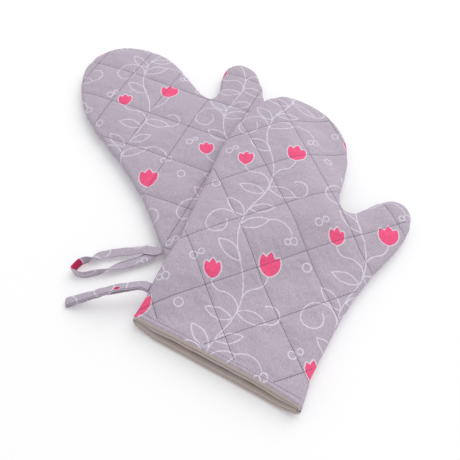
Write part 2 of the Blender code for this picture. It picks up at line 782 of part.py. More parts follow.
def flat_loop(mitt):
    """The upper mitt's loop: one strand lies over the other, arched off the table to its tip."""
    root, outward, hinge = loop_root(mitt, OVER_LOOP_ROOT)
    up = Vector((0.0, 0.0, 1.0))
    across = up.cross(outward)
    turned = Matrix.Rotation(OVER_LOOP_TURN, 3, 'Z') @ across
    rest = LOOP_FLOOR_GAP + 0.5 * TAPE_THICKNESS + 0.5 * OVER_LOOP_OPEN
    knots = []
    widths = []
    for side in (1.0, -1.0):
        strand = []
        faces = []
        for t in OVER_LOOP_SHARES:
            ease = smoothstep(t / LOOP_EASE_SHARE)
            swell = math.sin(math.pi * t)
            apart = 0.5 * (TAPE_THICKNESS + LAYER_GAP)
            apart += (0.5 * OVER_LOOP_OPEN - apart) * ease
            spot = loop_spot(root, outward, OVER_LOOP_TURN, OVER_LOOP_LENGTH * t)
            spot.z = root.z + (rest - root.z) * smoothstep(t) + OVER_LOOP_ARCH * swell
            spot.z += side * apart
            strand.append(spot)
            faces.append(across.lerp(turned, ease) + up * (OVER_LOOP_ROLL_SHARE * swell))
        knots.append(strand)
        widths.append(faces)
    tip = loop_spot(root, outward, OVER_LOOP_TURN, OVER_LOOP_LENGTH)
    tip.z = rest
    route = knots[0] + [tip] + knots[1][::-1]
    widths = widths[0] + [turned] + widths[1][::-1]
    return tape_body(smooth_path(route, OVER_LOOP_STEPS), smooth_path(widths, OVER_LOOP_STEPS)), hinge


def seat_over(over, under):
    """Raises the upper mitt's drape until its underside clears the lower mitt's top."""
    over.seat = under
    lower_points, faces, _ = under.plan.surface(1, 0.0, True, 0.0)
    lower = [under.place(p) for p in lower_points]
    upper_points, upper_faces, _ = over.plan.surface(-1, 0.0, True, 0.0)
    upper = [over.flat(p.x, p.y, p.z) for p in upper_points]
    trees = (BVHTree.FromPolygons(lower, faces), BVHTree.FromPolygons(upper, upper_faces))
    far = Vector((0.0, 0.0, MITT_LENGTH))
    needed = 0.0
    for points, tree, sign in ((upper, trees[0], 1.0), (lower, trees[1], -1.0)):
        for point in points:
            share = over.drape(point)
            start = Vector((point.x, point.y, 0.0)) + far * sign
            hit = tree.ray_cast(start, Vector((0.0, 0.0, -sign)))[0]
            if hit is not None and share > SEATED_SHARE:
                reach = (hit.z - point.z) * sign
                needed = max(needed, (reach + MITT_GAP) / share)
    over.lift_height = needed


def centre_pieces(collection, parents):
    """Moves everything so that the middle of the whole lies over the origin."""
    corners = []
    for piece in collection.objects:
        if piece.type == 'MESH':
            offset = piece.parent.location
            corners += [vert.co + offset for vert in piece.data.vertices]
    shift = Vector((0.0, 0.0, 0.0))
    for axis in (0, 1):
        low = min(corner[axis] for corner in corners)
        high = max(corner[axis] for corner in corners)
        shift[axis] = -0.5 * (low + high)
    for parent in parents:
        parent.location += shift
    return shift


def build():
    for old in list(bpy.data.objects):
        bpy.data.objects.remove(old)
    collection = bpy.data.collections.new("oven_mitts")
    bpy.context.scene.collection.children.link(collection)
    under_plan = Plan(side_seam(UNDER_CUFF_EXTRA, UNDER_SLIM, UNDER_THUMB_DROP),
                      Quilting(UNDER_QUILT_X, UNDER_QUILT_Y, UNDER_QUILT_TURN))
    over_plan = Plan(side_seam(0.0, 0.0, 0.0), Quilting(OVER_QUILT_X, OVER_QUILT_Y, OVER_QUILT_TURN))
    under = Mitt("under", UNDER_CUFF_X, UNDER_CUFF_Y, UNDER_TURN, under_plan)
    over = Mitt("over", OVER_CUFF_X, OVER_CUFF_Y, OVER_TURN, over_plan)
    seat_over(over, under)
    parents = []
    for mitt, make_loop in ((under, open_loop), (over, flat_loop)):
        body = bpy.data.objects.new(mitt.name + "_mitt", None)
        collection.objects.link(body)
        body.location = (mitt.cuff.x, mitt.cuff.y, 0.0)
        tape, place = make_loop(mitt)
        hinge = bpy.data.objects.new(mitt.name + "_loop_hinge", None)
        collection.objects.link(hinge)
        hinge.location = place
        parents += [body, hinge]
        for side, half in ((1, "top"), (-1, "bottom")):
            for layer in ("outer", "wadding", "lining"):
                name = mitt.name + "_" + layer + "_" + half
                add_object(name, sheet(mitt, side, layer), layer, body, collection)
            name = mitt.name + "_quilting_thread_" + half
            net = strands(mitt, side, connected_runs(mitt.plan))
            add_object(name, net, "thread", body, collection)
            name = mitt.name + "_cuff_stitching_" + half
            hem = strands(mitt, side, mitt.plan.runs["hem"])
            add_object(name, hem, "thread", body, collection)
        add_object(mitt.name + "_side_seam_thread", seam_thread(mitt), "thread", body, collection)
        add_object(mitt.name + "_hanging_loop", tape, "tape", hinge, collection)
    shift = centre_pieces(collection, parents)
    print("shift to the middle", [round(v, 5) for v in shift], "lift", round(over.lift_height, 5))
    for parent in parents:
        print(parent.name, [round(v, 5) for v in parent.location])


build()
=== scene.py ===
"""Looks for a pair of quilted cotton oven mitts with hanging loops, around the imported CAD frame."""

import math

import bmesh
import bpy
import numpy as np
from mathutils import Matrix, Vector
from mathutils.bvhtree import BVHTree
from mathutils.geometry import delaunay_2d_cdt


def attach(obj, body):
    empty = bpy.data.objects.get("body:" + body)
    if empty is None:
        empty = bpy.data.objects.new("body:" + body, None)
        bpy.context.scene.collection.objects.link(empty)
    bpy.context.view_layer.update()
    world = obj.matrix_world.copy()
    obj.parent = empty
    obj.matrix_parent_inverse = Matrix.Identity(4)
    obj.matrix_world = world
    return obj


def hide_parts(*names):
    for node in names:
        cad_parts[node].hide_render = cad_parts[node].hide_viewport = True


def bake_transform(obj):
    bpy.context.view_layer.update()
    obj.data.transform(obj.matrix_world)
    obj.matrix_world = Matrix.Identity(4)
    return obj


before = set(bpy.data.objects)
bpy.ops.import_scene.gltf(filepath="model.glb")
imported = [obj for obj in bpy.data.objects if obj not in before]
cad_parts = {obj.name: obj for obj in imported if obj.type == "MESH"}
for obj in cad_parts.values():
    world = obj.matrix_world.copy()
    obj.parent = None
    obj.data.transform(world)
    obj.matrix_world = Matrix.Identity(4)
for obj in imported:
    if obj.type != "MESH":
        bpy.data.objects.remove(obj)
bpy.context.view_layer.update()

MM = 0.001

# The mitt's outline and its placing, as in the CAD source
MITT_LENGTH = 0.3135
MITT_WIDTH = 0.207
OUTLINE_SHARES = (
    (-0.391, 0.000), (-0.386, 0.126), (-0.396, 0.252), (-0.420, 0.371), (-0.454, 0.497),
    (-0.483, 0.613), (-0.493, 0.723), (-0.478, 0.811), (-0.440, 0.893), (-0.377, 0.953),
    (-0.300, 0.987), (-0.217, 1.000), (-0.135, 0.991), (-0.058, 0.965), (0.014, 0.925),
    (0.072, 0.871), (0.111, 0.802), (0.135, 0.723), (0.155, 0.654), (0.184, 0.610),
    (0.222, 0.600), (0.264, 0.624), (0.300, 0.670), (0.345, 0.714), (0.406, 0.736),
    (0.468, 0.726), (0.511, 0.686), (0.519, 0.636), (0.502, 0.568), (0.468, 0.491),
    (0.435, 0.409), (0.411, 0.314), (0.396, 0.220), (0.386, 0.113), (0.391, 0.000),
)
UNDER_CUFF_EXTRA = 0.0100
UNDER_SLIM = 0.0055
SLIM_FULL_SHARE = 0.35
SLIM_END_SHARE = 0.65
UNDER_THUMB_DROP = 0.0018
THUMB_SIDE_SHARE = 0.14
THUMB_FOOT_SHARE = 0.56
SHIFT = (-0.00062, -0.04582)
OVER_LIFT = 0.01796
DRAPE_LENGTH = 0.064

# The cross-section, as in the CAD source
EDGE_HALF_DEPTH = 0.0058
EDGE_RADIUS = 0.0070
CROWN = 0.0030
TOP_CROWN_REACH = 0.045
BOTTOM_CROWN_REACH = 0.022
MID_HEIGHT = EDGE_HALF_DEPTH + CROWN
PAD_DEPTH = 0.0041
WALL = 0.0050
SEAM_GAP = 0.00015
QUILT_CELL = 0.050
CHANNEL_DEPTH = 0.0013
CUFF_SLANT = 0.0045
SLANT_REACH = 0.060

# Closer to the cuff's end than in the CAD source
HEM = 0.0032

# The hanging loops, as in the CAD source but for how the lower one spreads, turns and droops and the
# upper one's lower strand sags
TAPE_WIDTH = 0.0090
TAPE_THICKNESS = 0.0015
LAYER_GAP = 0.0003
LOOP_SEAM_GAP = 0.0004
LOOP_FLOOR_GAP = 0.0002
LOOP_LEAD = 0.0050
LOOP_EASE_SHARE = 0.5
UNDER_LOOP_ROOT = 0.0215
UNDER_LOOP_LENGTH = 0.0845
UNDER_LOOP_TURN = math.radians(-11.6)
UNDER_LOOP_OPEN = 0.0175
UNDER_LOOP_SHARES = (
    (0.00, 0.00), (0.06, 0.00), (0.17, 0.42), (0.35, 0.72), (0.62, 0.96), (0.88, 0.88),
)
PARTING_SHARE = 0.22
TWIST_START_SHARE = 0.348
TWIST_SHARE = 0.065
TIP_ROLL = math.radians(107.0)
LEAN_START_SHARE = 0.475
LEAN_SHARE = 0.07
LEAN_BACK = math.radians(25.0)
BACK_TWIST_START_SHARE = 0.616
BACK_TWIST_SHARE = 0.12
TIP_DROOP = 0.0038
TIP_DROOP_START = 0.50
OVER_LOOP_ROOT = 0.0275
OVER_LOOP_LENGTH = 0.0792
OVER_LOOP_TURN = math.radians(35.5)
OVER_LOOP_OPEN = 0.0024
OVER_LOOP_ARCH = 0.0062
OVER_LOOP_ROLL_SHARE = 0.32
OVER_LOOP_SAG = 0.0022
OVER_LOOP_SAG_SHARE = 0.26
OVER_LOOP_SAG_REACH = 0.16
OVER_LOOP_SHARES = (0.0, 0.1, 0.3, 0.5, 0.7, 0.97)

# The fine meshes
SEAM_STEP = 0.0025
CELL_STEPS = 20
COARSE_STEPS = 8
RIM_ROWS = 6
HEM_LEVELS = (0.0, 0.0004, 0.0009, 0.0016, 0.0026, 0.0038, 0.0050, 0.0060, 0.0070, 0.0084)

# Colours as they look, from 0 to 255
MAUVE_WARM = (191, 175, 190)
MAUVE_COOL = (184, 176, 189)
PRINT_LINE = (221, 215, 228)
PINK = (246, 92, 138)
# The loops' pink print place: a real pink motif, in a deeper pink that is partly painted shade of the fold
DEEP_PINK_WITH_PAINTED_SHADE = (204, 48, 96)
TAUPE = (194, 180, 175)
THREAD = (88, 72, 99)
PALE_THREAD = (148, 130, 150)
FLOOR = (253, 253, 254)


# Curves and fields

def smooth_path(points, steps):
    """A smooth curve through all the points, with so many steps between each two."""
    points = np.asarray(points, float)
    last = len(points) - 1
    path = []
    for i in range(last):
        a, b, c, d = (points[j] for j in (max(i - 1, 0), i, i + 1, min(i + 2, last)))
        for step in range(steps):
            t = step / steps
            path.append(0.5 * (2.0 * b + (c - a) * t + (2.0 * a - 5.0 * b + 4.0 * c - d) * t ** 2
                               + (3.0 * b - a - 3.0 * c + d) * t ** 3))
    path.append(points[last])
    return np.array(path)


def lengths_along(path):
    return np.concatenate([[0.0], np.cumsum(np.sqrt((np.diff(path, axis=0) ** 2).sum(1)))])


def unit(vectors):
    return vectors / np.sqrt((vectors ** 2).sum(-1, keepdims=True))


def places_along(path, length, at):
    """The places of a path at given lengths along it."""
    return np.stack([np.interp(at, length, axis) for axis in path.T], 1)


def rounded(value):
    t = np.clip(value, 0.0, 1.0)
    return 1.0 - (1.0 - t) ** 2


def smoothstep(value):
    t = np.clip(value, 0.0, 1.0)
    return t * t * (3.0 - 2.0 * t)


def distance_to(points, path):
    """Distance in the plane from each point to a path."""
    a, b = path[:-1], path[1:]
    along = b - a
    length = (along ** 2).sum(1)
    best = np.full(len(points), np.inf)
    for start in range(0, len(points), 2000):
        p = points[start:start + 2000, None, :]
        t = np.clip(((p - a) * along).sum(2) / length, 0.0, 1.0)
        gap = p - a - t[..., None] * along
        best[start:start + 2000] = np.sqrt((gap ** 2).sum(2).min(1))
    return best


def inside(points, loop):
    """Whether each point of the plane lies inside a closed loop."""
    a, b = loop, np.roll(loop, -1, axis=0)
    x, y = points[:, 0, None], points[:, 1, None]
    spans = (a[:, 1] > y) != (b[:, 1] > y)
    with np.errstate(divide="ignore", invalid="ignore"):
        cut = a[:, 0] + (y - a[:, 1]) / (b[:, 1] - a[:, 1]) * (b[:, 0] - a[:, 0])
    return (spans & (x < cut)).sum(1) % 2 == 1


def gap_outside(points, outline):
    """Distance in the plane from each point to an outline, and 0 inside it."""
    gap = distance_to(points, np.concatenate([outline, outline[:1]]))
    gap[inside(points, outline)] = 0.0
    return gap


def ripple(u, v, size, seed, waves=7):
    """A smooth random field from about -1 to 1 whose features are of the given size."""
    total = 0.0
    for k in range(waves):
        angle = 2.399963 * (k + 3 * seed) + 0.7
        rate = 2.0 * math.pi / size * (0.6 + 0.8 * ((k * 0.618034 + seed * 0.37) % 1.0))
        total = total + np.sin((u * math.cos(angle) + v * math.sin(angle)) * rate + 2.1 * k + seed)
    return total / math.sqrt(waves) * 0.9


# How the sewing draws the cloth in at the side seam, and where the seam's normals turn level at the cuff
SEAM_PINCH = 0.0009
SEAM_PINCH_REACH = 0.0045
SEAM_UNEVEN = 0.00022
SEAM_WAVES = ((0.008, 4), (0.026, 6))
LEVEL_FADE = 0.02

# How the upper mitt's cuff is pulled out beyond its cut length, less at its left end, how its right
# corner spreads and how the lower side of that corner sags
CUFF_PULL = 0.0040
CUFF_PULL_LEFT_SHARE = 0.8
CUFF_LEFT = -0.081
CORNER_SAG = 0.0012
CORNER_SPREAD = 0.0036
CORNER_START = 0.048
CORNER_REACH = 0.030
CUFF_FADE = 0.028


# One mitt's plan

class Plan:
    """The flat shape of a mitt, its quilting and where it lies."""

    def __init__(self, name, cuff, turn, extra, slim, drop, quilt, quilt_turn):
        self.name = name
        self.cuff = np.array(cuff)
        self.cos, self.sin = math.cos(math.radians(turn)), math.sin(math.radians(turn))
        self.quilt = np.array(quilt)
        angle = math.radians(quilt_turn)
        self.along = np.array((math.cos(angle), math.sin(angle)))
        self.across = np.array((-math.sin(angle), math.cos(angle)))
        self.seat = None
        self.sags = False
        self.groove = {}
        self.cuff_y = -extra
        points = []
        for x, y in OUTLINE_SHARES:
            spot = [x * MITT_WIDTH, y * MITT_LENGTH]
            if x < 0.0:
                ease = (y - SLIM_FULL_SHARE) / (SLIM_END_SHARE - SLIM_FULL_SHARE)
                spot[0] += slim * (1.0 - smoothstep(ease))
            elif x > THUMB_SIDE_SHARE and y > THUMB_FOOT_SHARE:
                spot[1] -= drop
            points.append(spot)
        if extra > 0.0:
            points.insert(0, [points[0][0], -extra])
            points.append([points[-1][0], -extra])
        self.seam = smooth_path(points, 24)
        self.sample()

    def sample(self):
        """Points of the side seam, level with the hem's rows near the cuff and evenly between."""
        seam = self.seam
        length = np.concatenate([[0.0], np.cumsum(np.hypot(*np.diff(seam, axis=0).T))])
        levels = np.array(HEM_LEVELS)
        half = len(seam) // 2
        left = np.interp(levels + self.cuff_y, seam[:half, 1], length[:half])
        right = np.interp(levels + self.cuff_y, seam[:half - 1:-1, 1], length[:half - 1:-1])
        count = round((right[-1] - left[-1]) / SEAM_STEP)
        stops = np.concatenate([left, np.linspace(left[-1], right[-1], count + 1)[1:-1], right[::-1]])
        self.base = places_along(seam, length, stops)
        along = places_along(seam, length, stops + MM) - places_along(seam, length, stops - MM)
        normal = np.stack([along[:, 1], -along[:, 0]], 1)
        normal /= np.hypot(*normal.T)[:, None]
        level = smoothstep(1.0 - (self.base[:, 1] - self.cuff_y - HEM_LEVELS[-1]) / LEVEL_FADE)
        normal = normal * (1.0 - level)[:, None]
        normal[:, 0] += level * np.sign(-self.base[:, 0])
        self.normal = normal / np.hypot(*normal.T)[:, None]
        self.ring = self.base + self.normal * EDGE_RADIUS
        self.columns = round((self.ring[-1, 0] - self.ring[0, 0]) / SEAM_STEP)
        gap = self.to_channel(self.ring)[0]
        uneven = SEAM_UNEVEN * sum(ripple(stops, 0.0, size, seed) for size, seed in SEAM_WAVES)
        clear = smoothstep((self.base[:, 1] - self.cuff_y) / LEVEL_FADE)
        self.pinch = clear * (SEAM_PINCH * np.exp(-(gap / SEAM_PINCH_REACH) ** 2) + uneven)

    def cells(self, points):
        offset = points - self.quilt
        return np.stack([offset @ self.along, offset @ self.across], 1) / QUILT_CELL

    def to_channel(self, points):
        """Distance to the nearest channel, and the place along it."""
        cells = self.cells(points) * QUILT_CELL
        gap = np.abs(cells - np.round(cells / QUILT_CELL) * QUILT_CELL)
        first = gap[:, 0] < gap[:, 1]
        return np.where(first, gap[:, 0], gap[:, 1]), np.where(first, cells[:, 1], cells[:, 0])

    def fill(self, steps):
        """The places inside the last ring, from the cuff inwards, and the triangles between them."""
        count = len(self.ring)
        levels = len(HEM_LEVELS)
        share = np.arange(1, self.columns)[:, None] / self.columns
        rows = []
        for k in range(levels):
            rows.append(self.ring[k] * (1.0 - share) + self.ring[count - 1 - k] * share)
        loop = np.concatenate([self.ring, rows[0][::-1]])
        step = QUILT_CELL / steps
        reach = math.ceil(1.3 * MITT_LENGTH / step)
        near = np.round(self.cells(np.array([[0.0, 0.5 * MITT_LENGTH]])) * steps)[0]
        a, b = np.meshgrid(np.arange(-reach, reach + 1) + near[0], np.arange(-reach, reach + 1) + near[1])
        grid = self.quilt + (a.reshape(-1, 1) * self.along + b.reshape(-1, 1) * self.across) * step
        top = self.cuff_y + HEM_LEVELS[-1] + 0.5 * step
        grid = grid[(grid[:, 1] > top) & (np.abs(grid[:, 0]) < MITT_WIDTH) & (grid[:, 1] < MITT_LENGTH)]
        grid = grid[inside(grid, loop)]
        grid = grid[distance_to(grid, self.ring) > 0.6 * min(step, 0.0035)]
        places = np.concatenate([self.ring, *rows, grid])
        boundary = list(range(count)) + list(range(count, count + len(rows[0])))[::-1]
        result = delaunay_2d_cdt([Vector(p) for p in places.tolist()], [], [boundary], 1, 1e-7)
        source = [s[0] for s in result[3]]
        faces = [[source[v] for v in face] for face in result[2]]
        return places, faces, len(rows[0])

    def place(self, points):
        """From the mitt's own frame to the row frame."""
        x, y, z = np.asarray(points, float).T
        if self.sags:
            from_left = smoothstep((x - CUFF_LEFT) / CORNER_REACH)
            pull = CUFF_PULL_LEFT_SHARE + (1.0 - CUFF_PULL_LEFT_SHARE) * from_left
            corner = smoothstep((x - CORNER_START) / CORNER_REACH)
            sag = CUFF_PULL * pull + CORNER_SAG * corner * (1.0 - z / (2.0 * MID_HEIGHT))
            fade = np.exp(-np.maximum(y - self.cuff_y, 0.0) / CUFF_FADE)
            x = x + CORNER_SPREAD * corner * fade
            y = y - sag * fade
        lean = np.maximum(0.0, 1.0 - (y - self.cuff_y) / SLANT_REACH)
        y = y + lean * CUFF_SLANT * (z / MID_HEIGHT - 1.0)
        spot = self.laid(x, y)
        if self.seat is not None:
            gap = gap_outside(spot, self.seat.outline())
            z = z + OVER_LIFT * (1.0 - smoothstep(gap / DRAPE_LENGTH))
        return np.column_stack([spot + SHIFT, z])

    def laid(self, x, y):
        """Where places of the flat mitt come to lie, seen from above and before the shift."""
        return np.stack([self.cuff[0] + x * self.cos - y * self.sin,
                         self.cuff[1] + x * self.sin + y * self.cos], 1)

    def outline(self):
        return self.laid(*self.seam.T)


# How the sewing draws the cloth in: in a crease and a wide hollow at each channel, in puckers beside it,
# over whole cells, and along the hem; reaches and wave sizes in metres
CREASE_SHARE = 0.68
CREASE_REACH = 0.0016
HOLLOW_SHARE = 0.32
HOLLOW_REACH = 0.020
PUCKER = 0.00022
PUCKER_SIZE = 0.0075
PUCKER_REACH = 0.0042
PUCKER_START = 0.0010
SWAY = 0.00036
SWAY_SIZE = 0.048
HEM_GROOVE_SHARE = 0.75
HEM_GROOVE_REACH = 0.0009
HEM_PUCKER_SIZE = 0.010
HEM_PUCKER_REACH = 0.0035

# How the rounded rim is drawn in at the side seam, and how much of the relief reaches it
SEAM_VALLEY = 0.0005
VALLEY_ROWS = 0.8
RIM_RELIEF_SHARE = 0.85
RIM_UNEVEN = 0.00018
RIM_UNEVEN_SIZE = 0.012


def relief(plan, points):
    """How far the cloth is drawn in at the sewn channels, with the puckers beside them."""
    gap, along = plan.to_channel(points)
    groove = CREASE_SHARE * np.exp(-gap / CREASE_REACH) + HOLLOW_SHARE * (1.0 - rounded(gap / HOLLOW_REACH))
    u, v = points.T
    pucker = ripple(along, gap * 0.3, PUCKER_SIZE, 2) * np.exp(-gap / PUCKER_REACH)
    pucker = pucker * (1.0 - np.exp(-gap / PUCKER_START))
    sway = SWAY * (0.6 + 0.5 * ripple(u, v, SWAY_SIZE, 9))
    depth = CHANNEL_DEPTH * groove + PUCKER * pucker + sway
    hem_gap = np.abs(v - plan.cuff_y - HEM)
    hem = CHANNEL_DEPTH * HEM_GROOVE_SHARE * np.exp(-hem_gap / HEM_GROOVE_REACH)
    depth = np.maximum(depth * smoothstep((v - plan.cuff_y) / (2.0 * HEM)), hem)
    return depth + PUCKER * ripple(u, v * 0.2, HEM_PUCKER_SIZE, 5) * np.exp(-hem_gap / HEM_PUCKER_REACH)


def face_points(plan, side, depth, filled, quilted, hem_roll):
    """Points of one face of a half, at a depth below the outer face, with their place on the cloth."""
    reach = TOP_CROWN_REACH if side > 0 else BOTTOM_CROWN_REACH
    places = filled[0]
    rows, cloth, out = [], [], []
    arc = 0.5 * math.pi * 0.5 * (EDGE_RADIUS + EDGE_HALF_DEPTH)
    for row in range(RIM_ROWS):
        angle = 0.5 * math.pi * row / RIM_ROWS
        valley = SEAM_VALLEY * math.exp(-row / VALLEY_ROWS) if quilted else 0.0
        inset = EDGE_RADIUS - (EDGE_RADIUS - depth - plan.pinch[:, None]) * math.cos(angle) + valley
        rise = SEAM_GAP + (EDGE_HALF_DEPTH - SEAM_GAP - depth) * math.sin(angle)
        spot = plan.base + plan.normal * inset
        rows.append(np.column_stack([spot, np.full(len(spot), rise)]))
        cloth.append(plan.ring - plan.normal * arc * (1.0 - row / RIM_ROWS))
        out.append(np.column_stack([-plan.normal * math.cos(angle), np.full(len(spot), math.sin(angle))]))
    inner = distance_to(places, plan.seam) - EDGE_RADIUS
    rise = EDGE_HALF_DEPTH + CROWN * rounded(inner / reach) - depth
    rows.append(np.column_stack([places, rise]))
    cloth.append(places)
    out.append(np.column_stack([np.zeros((len(places), 2)), np.ones(len(places))]))
    points, cloth, out = (np.concatenate(part) for part in (rows, cloth, out))
    if quilted:
        rim = [RIM_RELIEF_SHARE * math.sin(0.5 * math.pi * row / RIM_ROWS) for row in range(RIM_ROWS)]
        share = np.concatenate([np.repeat(rim, len(plan.base)), np.ones(len(places))])
        drawn = relief(plan, cloth) * share
        drawn += RIM_UNEVEN * ripple(*cloth.T, RIM_UNEVEN_SIZE, 3 + side) * (1.0 - share)
        points = points - out * drawn[:, None]
    if hem_roll:
        t = np.clip((cloth[:, 1] - plan.cuff_y) / hem_roll, 0.0, 1.0)
        drop = hem_roll * (1.0 - np.sqrt(np.maximum(0.0, 1.0 - (1.0 - t) ** 2)))
        points[:, :2] -= out[:, :2] * drop[:, None]
        points[:, 2] -= np.minimum(out[:, 2] * drop, np.maximum(points[:, 2] - SEAM_GAP, 0.0))
    points[:, 2] = MID_HEIGHT + side * points[:, 2]
    return points, cloth


def cuff_line(plan, width):
    """The places along the cuff, from the right side's seam to the left side's."""
    count = len(plan.base)
    first = RIM_ROWS * count
    left = [row * count for row in range(RIM_ROWS + 1)]
    right = [row * count + count - 1 for row in range(RIM_ROWS + 1)]
    return right + [first + count + i for i in range(width)][::-1] + left[::-1]


def half_faces(plan, filled, offset=0):
    """The faces of one face of a half, rim and middle, for points that start at offset."""
    count = len(plan.base)
    corners = [offset + row * count + k for row in range(RIM_ROWS) for k in range(count - 1)]
    rim = [(a, a + 1, a + 1 + count, a + count) for a in corners]
    return rim + [[offset + RIM_ROWS * count + i for i in face] for face in filled[1]]


def add_row(points, cloth, faces, start, row, row_cloth):
    """Adds a row of points behind the last one, and the faces between the two."""
    new = list(range(len(points), len(points) + len(row)))
    faces += [(start[i], start[i + 1], new[i + 1], new[i]) for i in range(len(new) - 1)]
    return np.concatenate([points, row]), np.concatenate([cloth, row_cloth]), new


def add_object(name, data):
    added = bpy.data.objects.new(name, data)
    bpy.context.scene.collection.objects.link(added)
    return added


def make_piece(name, points, faces, cloth, material):
    mesh = bpy.data.meshes.new(name)
    mesh.from_pydata(np.asarray(points).tolist(), [], faces)
    bm = bmesh.new()
    bm.from_mesh(mesh)
    layer = bm.loops.layers.uv.new("cloth")
    for face in bm.faces:
        for loop in face.loops:
            loop[layer].uv = cloth[loop.vert.index]
    bmesh.ops.recalc_face_normals(bm, faces=bm.faces)
    bm.to_mesh(mesh)
    bm.free()
    mesh.shade_smooth()
    mesh.materials.append(material)
    return add_object(name, mesh)


def vertex_places(mesh):
    places = np.zeros(len(mesh.vertices) * 3)
    mesh.vertices.foreach_get("co", places)
    return places.reshape(-1, 3)


def apply_modifiers(piece):
    bpy.context.view_layer.update()
    graph = bpy.context.evaluated_depsgraph_get()
    mesh = bpy.data.meshes.new_from_object(piece.evaluated_get(graph))
    old = piece.data
    piece.modifiers.clear()
    piece.data = mesh
    mesh.name = piece.name
    bpy.data.meshes.remove(old)


def subdivide(piece):
    modifier = piece.modifiers.new("fine", 'SUBSURF')
    modifier.levels = modifier.render_levels = 1
    modifier.quality = 1
    modifier.use_limit_surface = False
    apply_modifiers(piece)


# The simulated filling of the quilting: frames, pressure, slack of the cloth and how far it may move
FILL_FRAMES = 14
FILL_PRESSURE = 3.2
FILL_SLACK = 0.012
SWELL = 0.0014
SWELL_FADE = 0.010
SINK = 0.0007
SLIP = 0.0007
SEWN_REACH = 0.0045


def room_above(plan, side, spot):
    """How far each place may swell: not against the table, nor between the two mitts."""
    if side < 0:
        return np.zeros(len(spot))
    if plan is over:
        return np.full(len(spot), SWELL)
    return SWELL * smoothstep(gap_outside(spot, over.outline() + SHIFT) / SWELL_FADE)


def fill_out(plan, side, piece, cloth, first):
    """Simulates the wadding pressing the cloth out between the seams, which stay where they are sewn."""
    before = vertex_places(piece.data)
    last = first + len(plan.fine[0])
    free = np.zeros(len(before))
    gap = plan.to_channel(cloth[first:last])[0]
    edge = distance_to(cloth[first:last], plan.ring)
    level = cloth[first:last, 1] - plan.cuff_y - 1.5 * HEM
    free[first:last] = smoothstep(np.minimum(np.minimum(gap, edge), level) / SEWN_REACH)
    sewn = piece.vertex_groups.new(name="sewn")
    for index, value in enumerate(free):
        sewn.add([index], 1.0 - value, 'REPLACE')
    modifier = piece.modifiers.new("filling", 'CLOTH')
    settings = modifier.settings
    settings.quality = 4
    settings.mass = 0.2
    settings.tension_stiffness = settings.compression_stiffness = 12.0
    settings.shear_stiffness = 4.0
    settings.bending_stiffness = 0.4
    settings.vertex_group_mass = sewn.name
    settings.shrink_min = -FILL_SLACK
    settings.use_pressure = True
    settings.uniform_pressure_force = FILL_PRESSURE
    settings.effector_weights.gravity = 0.0
    modifier.collision_settings.use_collision = False
    modifier.point_cache.frame_end = FILL_FRAMES
    for step in range(1, FILL_FRAMES + 1):
        bpy.context.scene.frame_set(step)
    after = vertex_places(piece.evaluated_get(bpy.context.evaluated_depsgraph_get()).data)
    piece.modifiers.clear()
    piece.vertex_groups.clear()
    bpy.context.scene.frame_set(1)
    move = (after - before) * free[:, None]
    move[:, :2] = np.clip(move[:, :2], -SLIP, SLIP)
    rise = np.clip(side * move[:, 2], -SINK, room_above(plan, side, before[:, :2]))
    move[:, 2] = side * rise
    piece.data.vertices.foreach_set("co", (before + move).ravel())
    piece.data.update()


# The cuff's end: the outer cloth rolls over and tucks in, and the lining covers the rest in two rolls,
# each given by how far it lies behind the cuff's end and its share of the depth
BACK_PRINT_SHIFT = 0.040
HEM_ROLLS = {1: 0.0015, -1: 0.0008}
LIP_PROFILE = ((0.0002, 0.0001), (0.0008, 0.0003), (0.0020, 0.0006))
LINING_TUCK = 0.0024
LINING_ROLL = ((0.0013, 1.00), (0.0001, 0.95), (-0.0006, 0.80), (-0.0003, 0.62), (0.0008, 0.52),
               (-0.0003, 0.42), (-0.0007, 0.26), (-0.0003, 0.09), (0.0008, 0.00))
GROOVE_ROW = 4
GROOVE_STITCH_RISE = 0.0007

# How far the loose lining hangs off the wadding: at the cuff's end, in a fold behind it with gathers
# towards the right corner, and how far it is drawn in between the two. A start or a place is counted
# from the cuff's end, and a size is that of the waves.
LINING_THICKNESS = 0.0005
LOOSE_REACH = 0.016
END_SLACK = {1: 0.0027, -1: 0.0004}
END_REACH = 0.010
END_WAVE = 0.0005
END_WAVE_SIZE = 0.026
FOLD_SLACK = {1: 0.0006, -1: 0.0038}
FOLD_START, FOLD_RISE = 0.0018, 0.0045
FOLD_FADE_START, FOLD_FADE = 0.010, 0.020
FOLD_MEAN = 0.75
FOLD_WAVE, FOLD_WAVE_SIZE = 0.35, 0.034
FOLD_CREASE, FOLD_CREASE_SIZE = 0.16, 0.009
GATHER, GATHER_SIZE = 0.32, 0.012
GATHER_START, GATHER_REACH = 0.030, 0.03
FOLD_VALLEY = {1: 0.0, -1: 0.0006}
VALLEY_PLACE, VALLEY_REACH = 0.0022, 0.0012


def tucked(plan, points, inset):
    """Draws the rows near the cuff in, so that the first lies inset behind the cuff's end."""
    into = points[:, 1] - plan.cuff_y
    points[:, 1] += inset * np.clip(1.0 - into / HEM_LEVELS[-1], 0.0, 1.0)


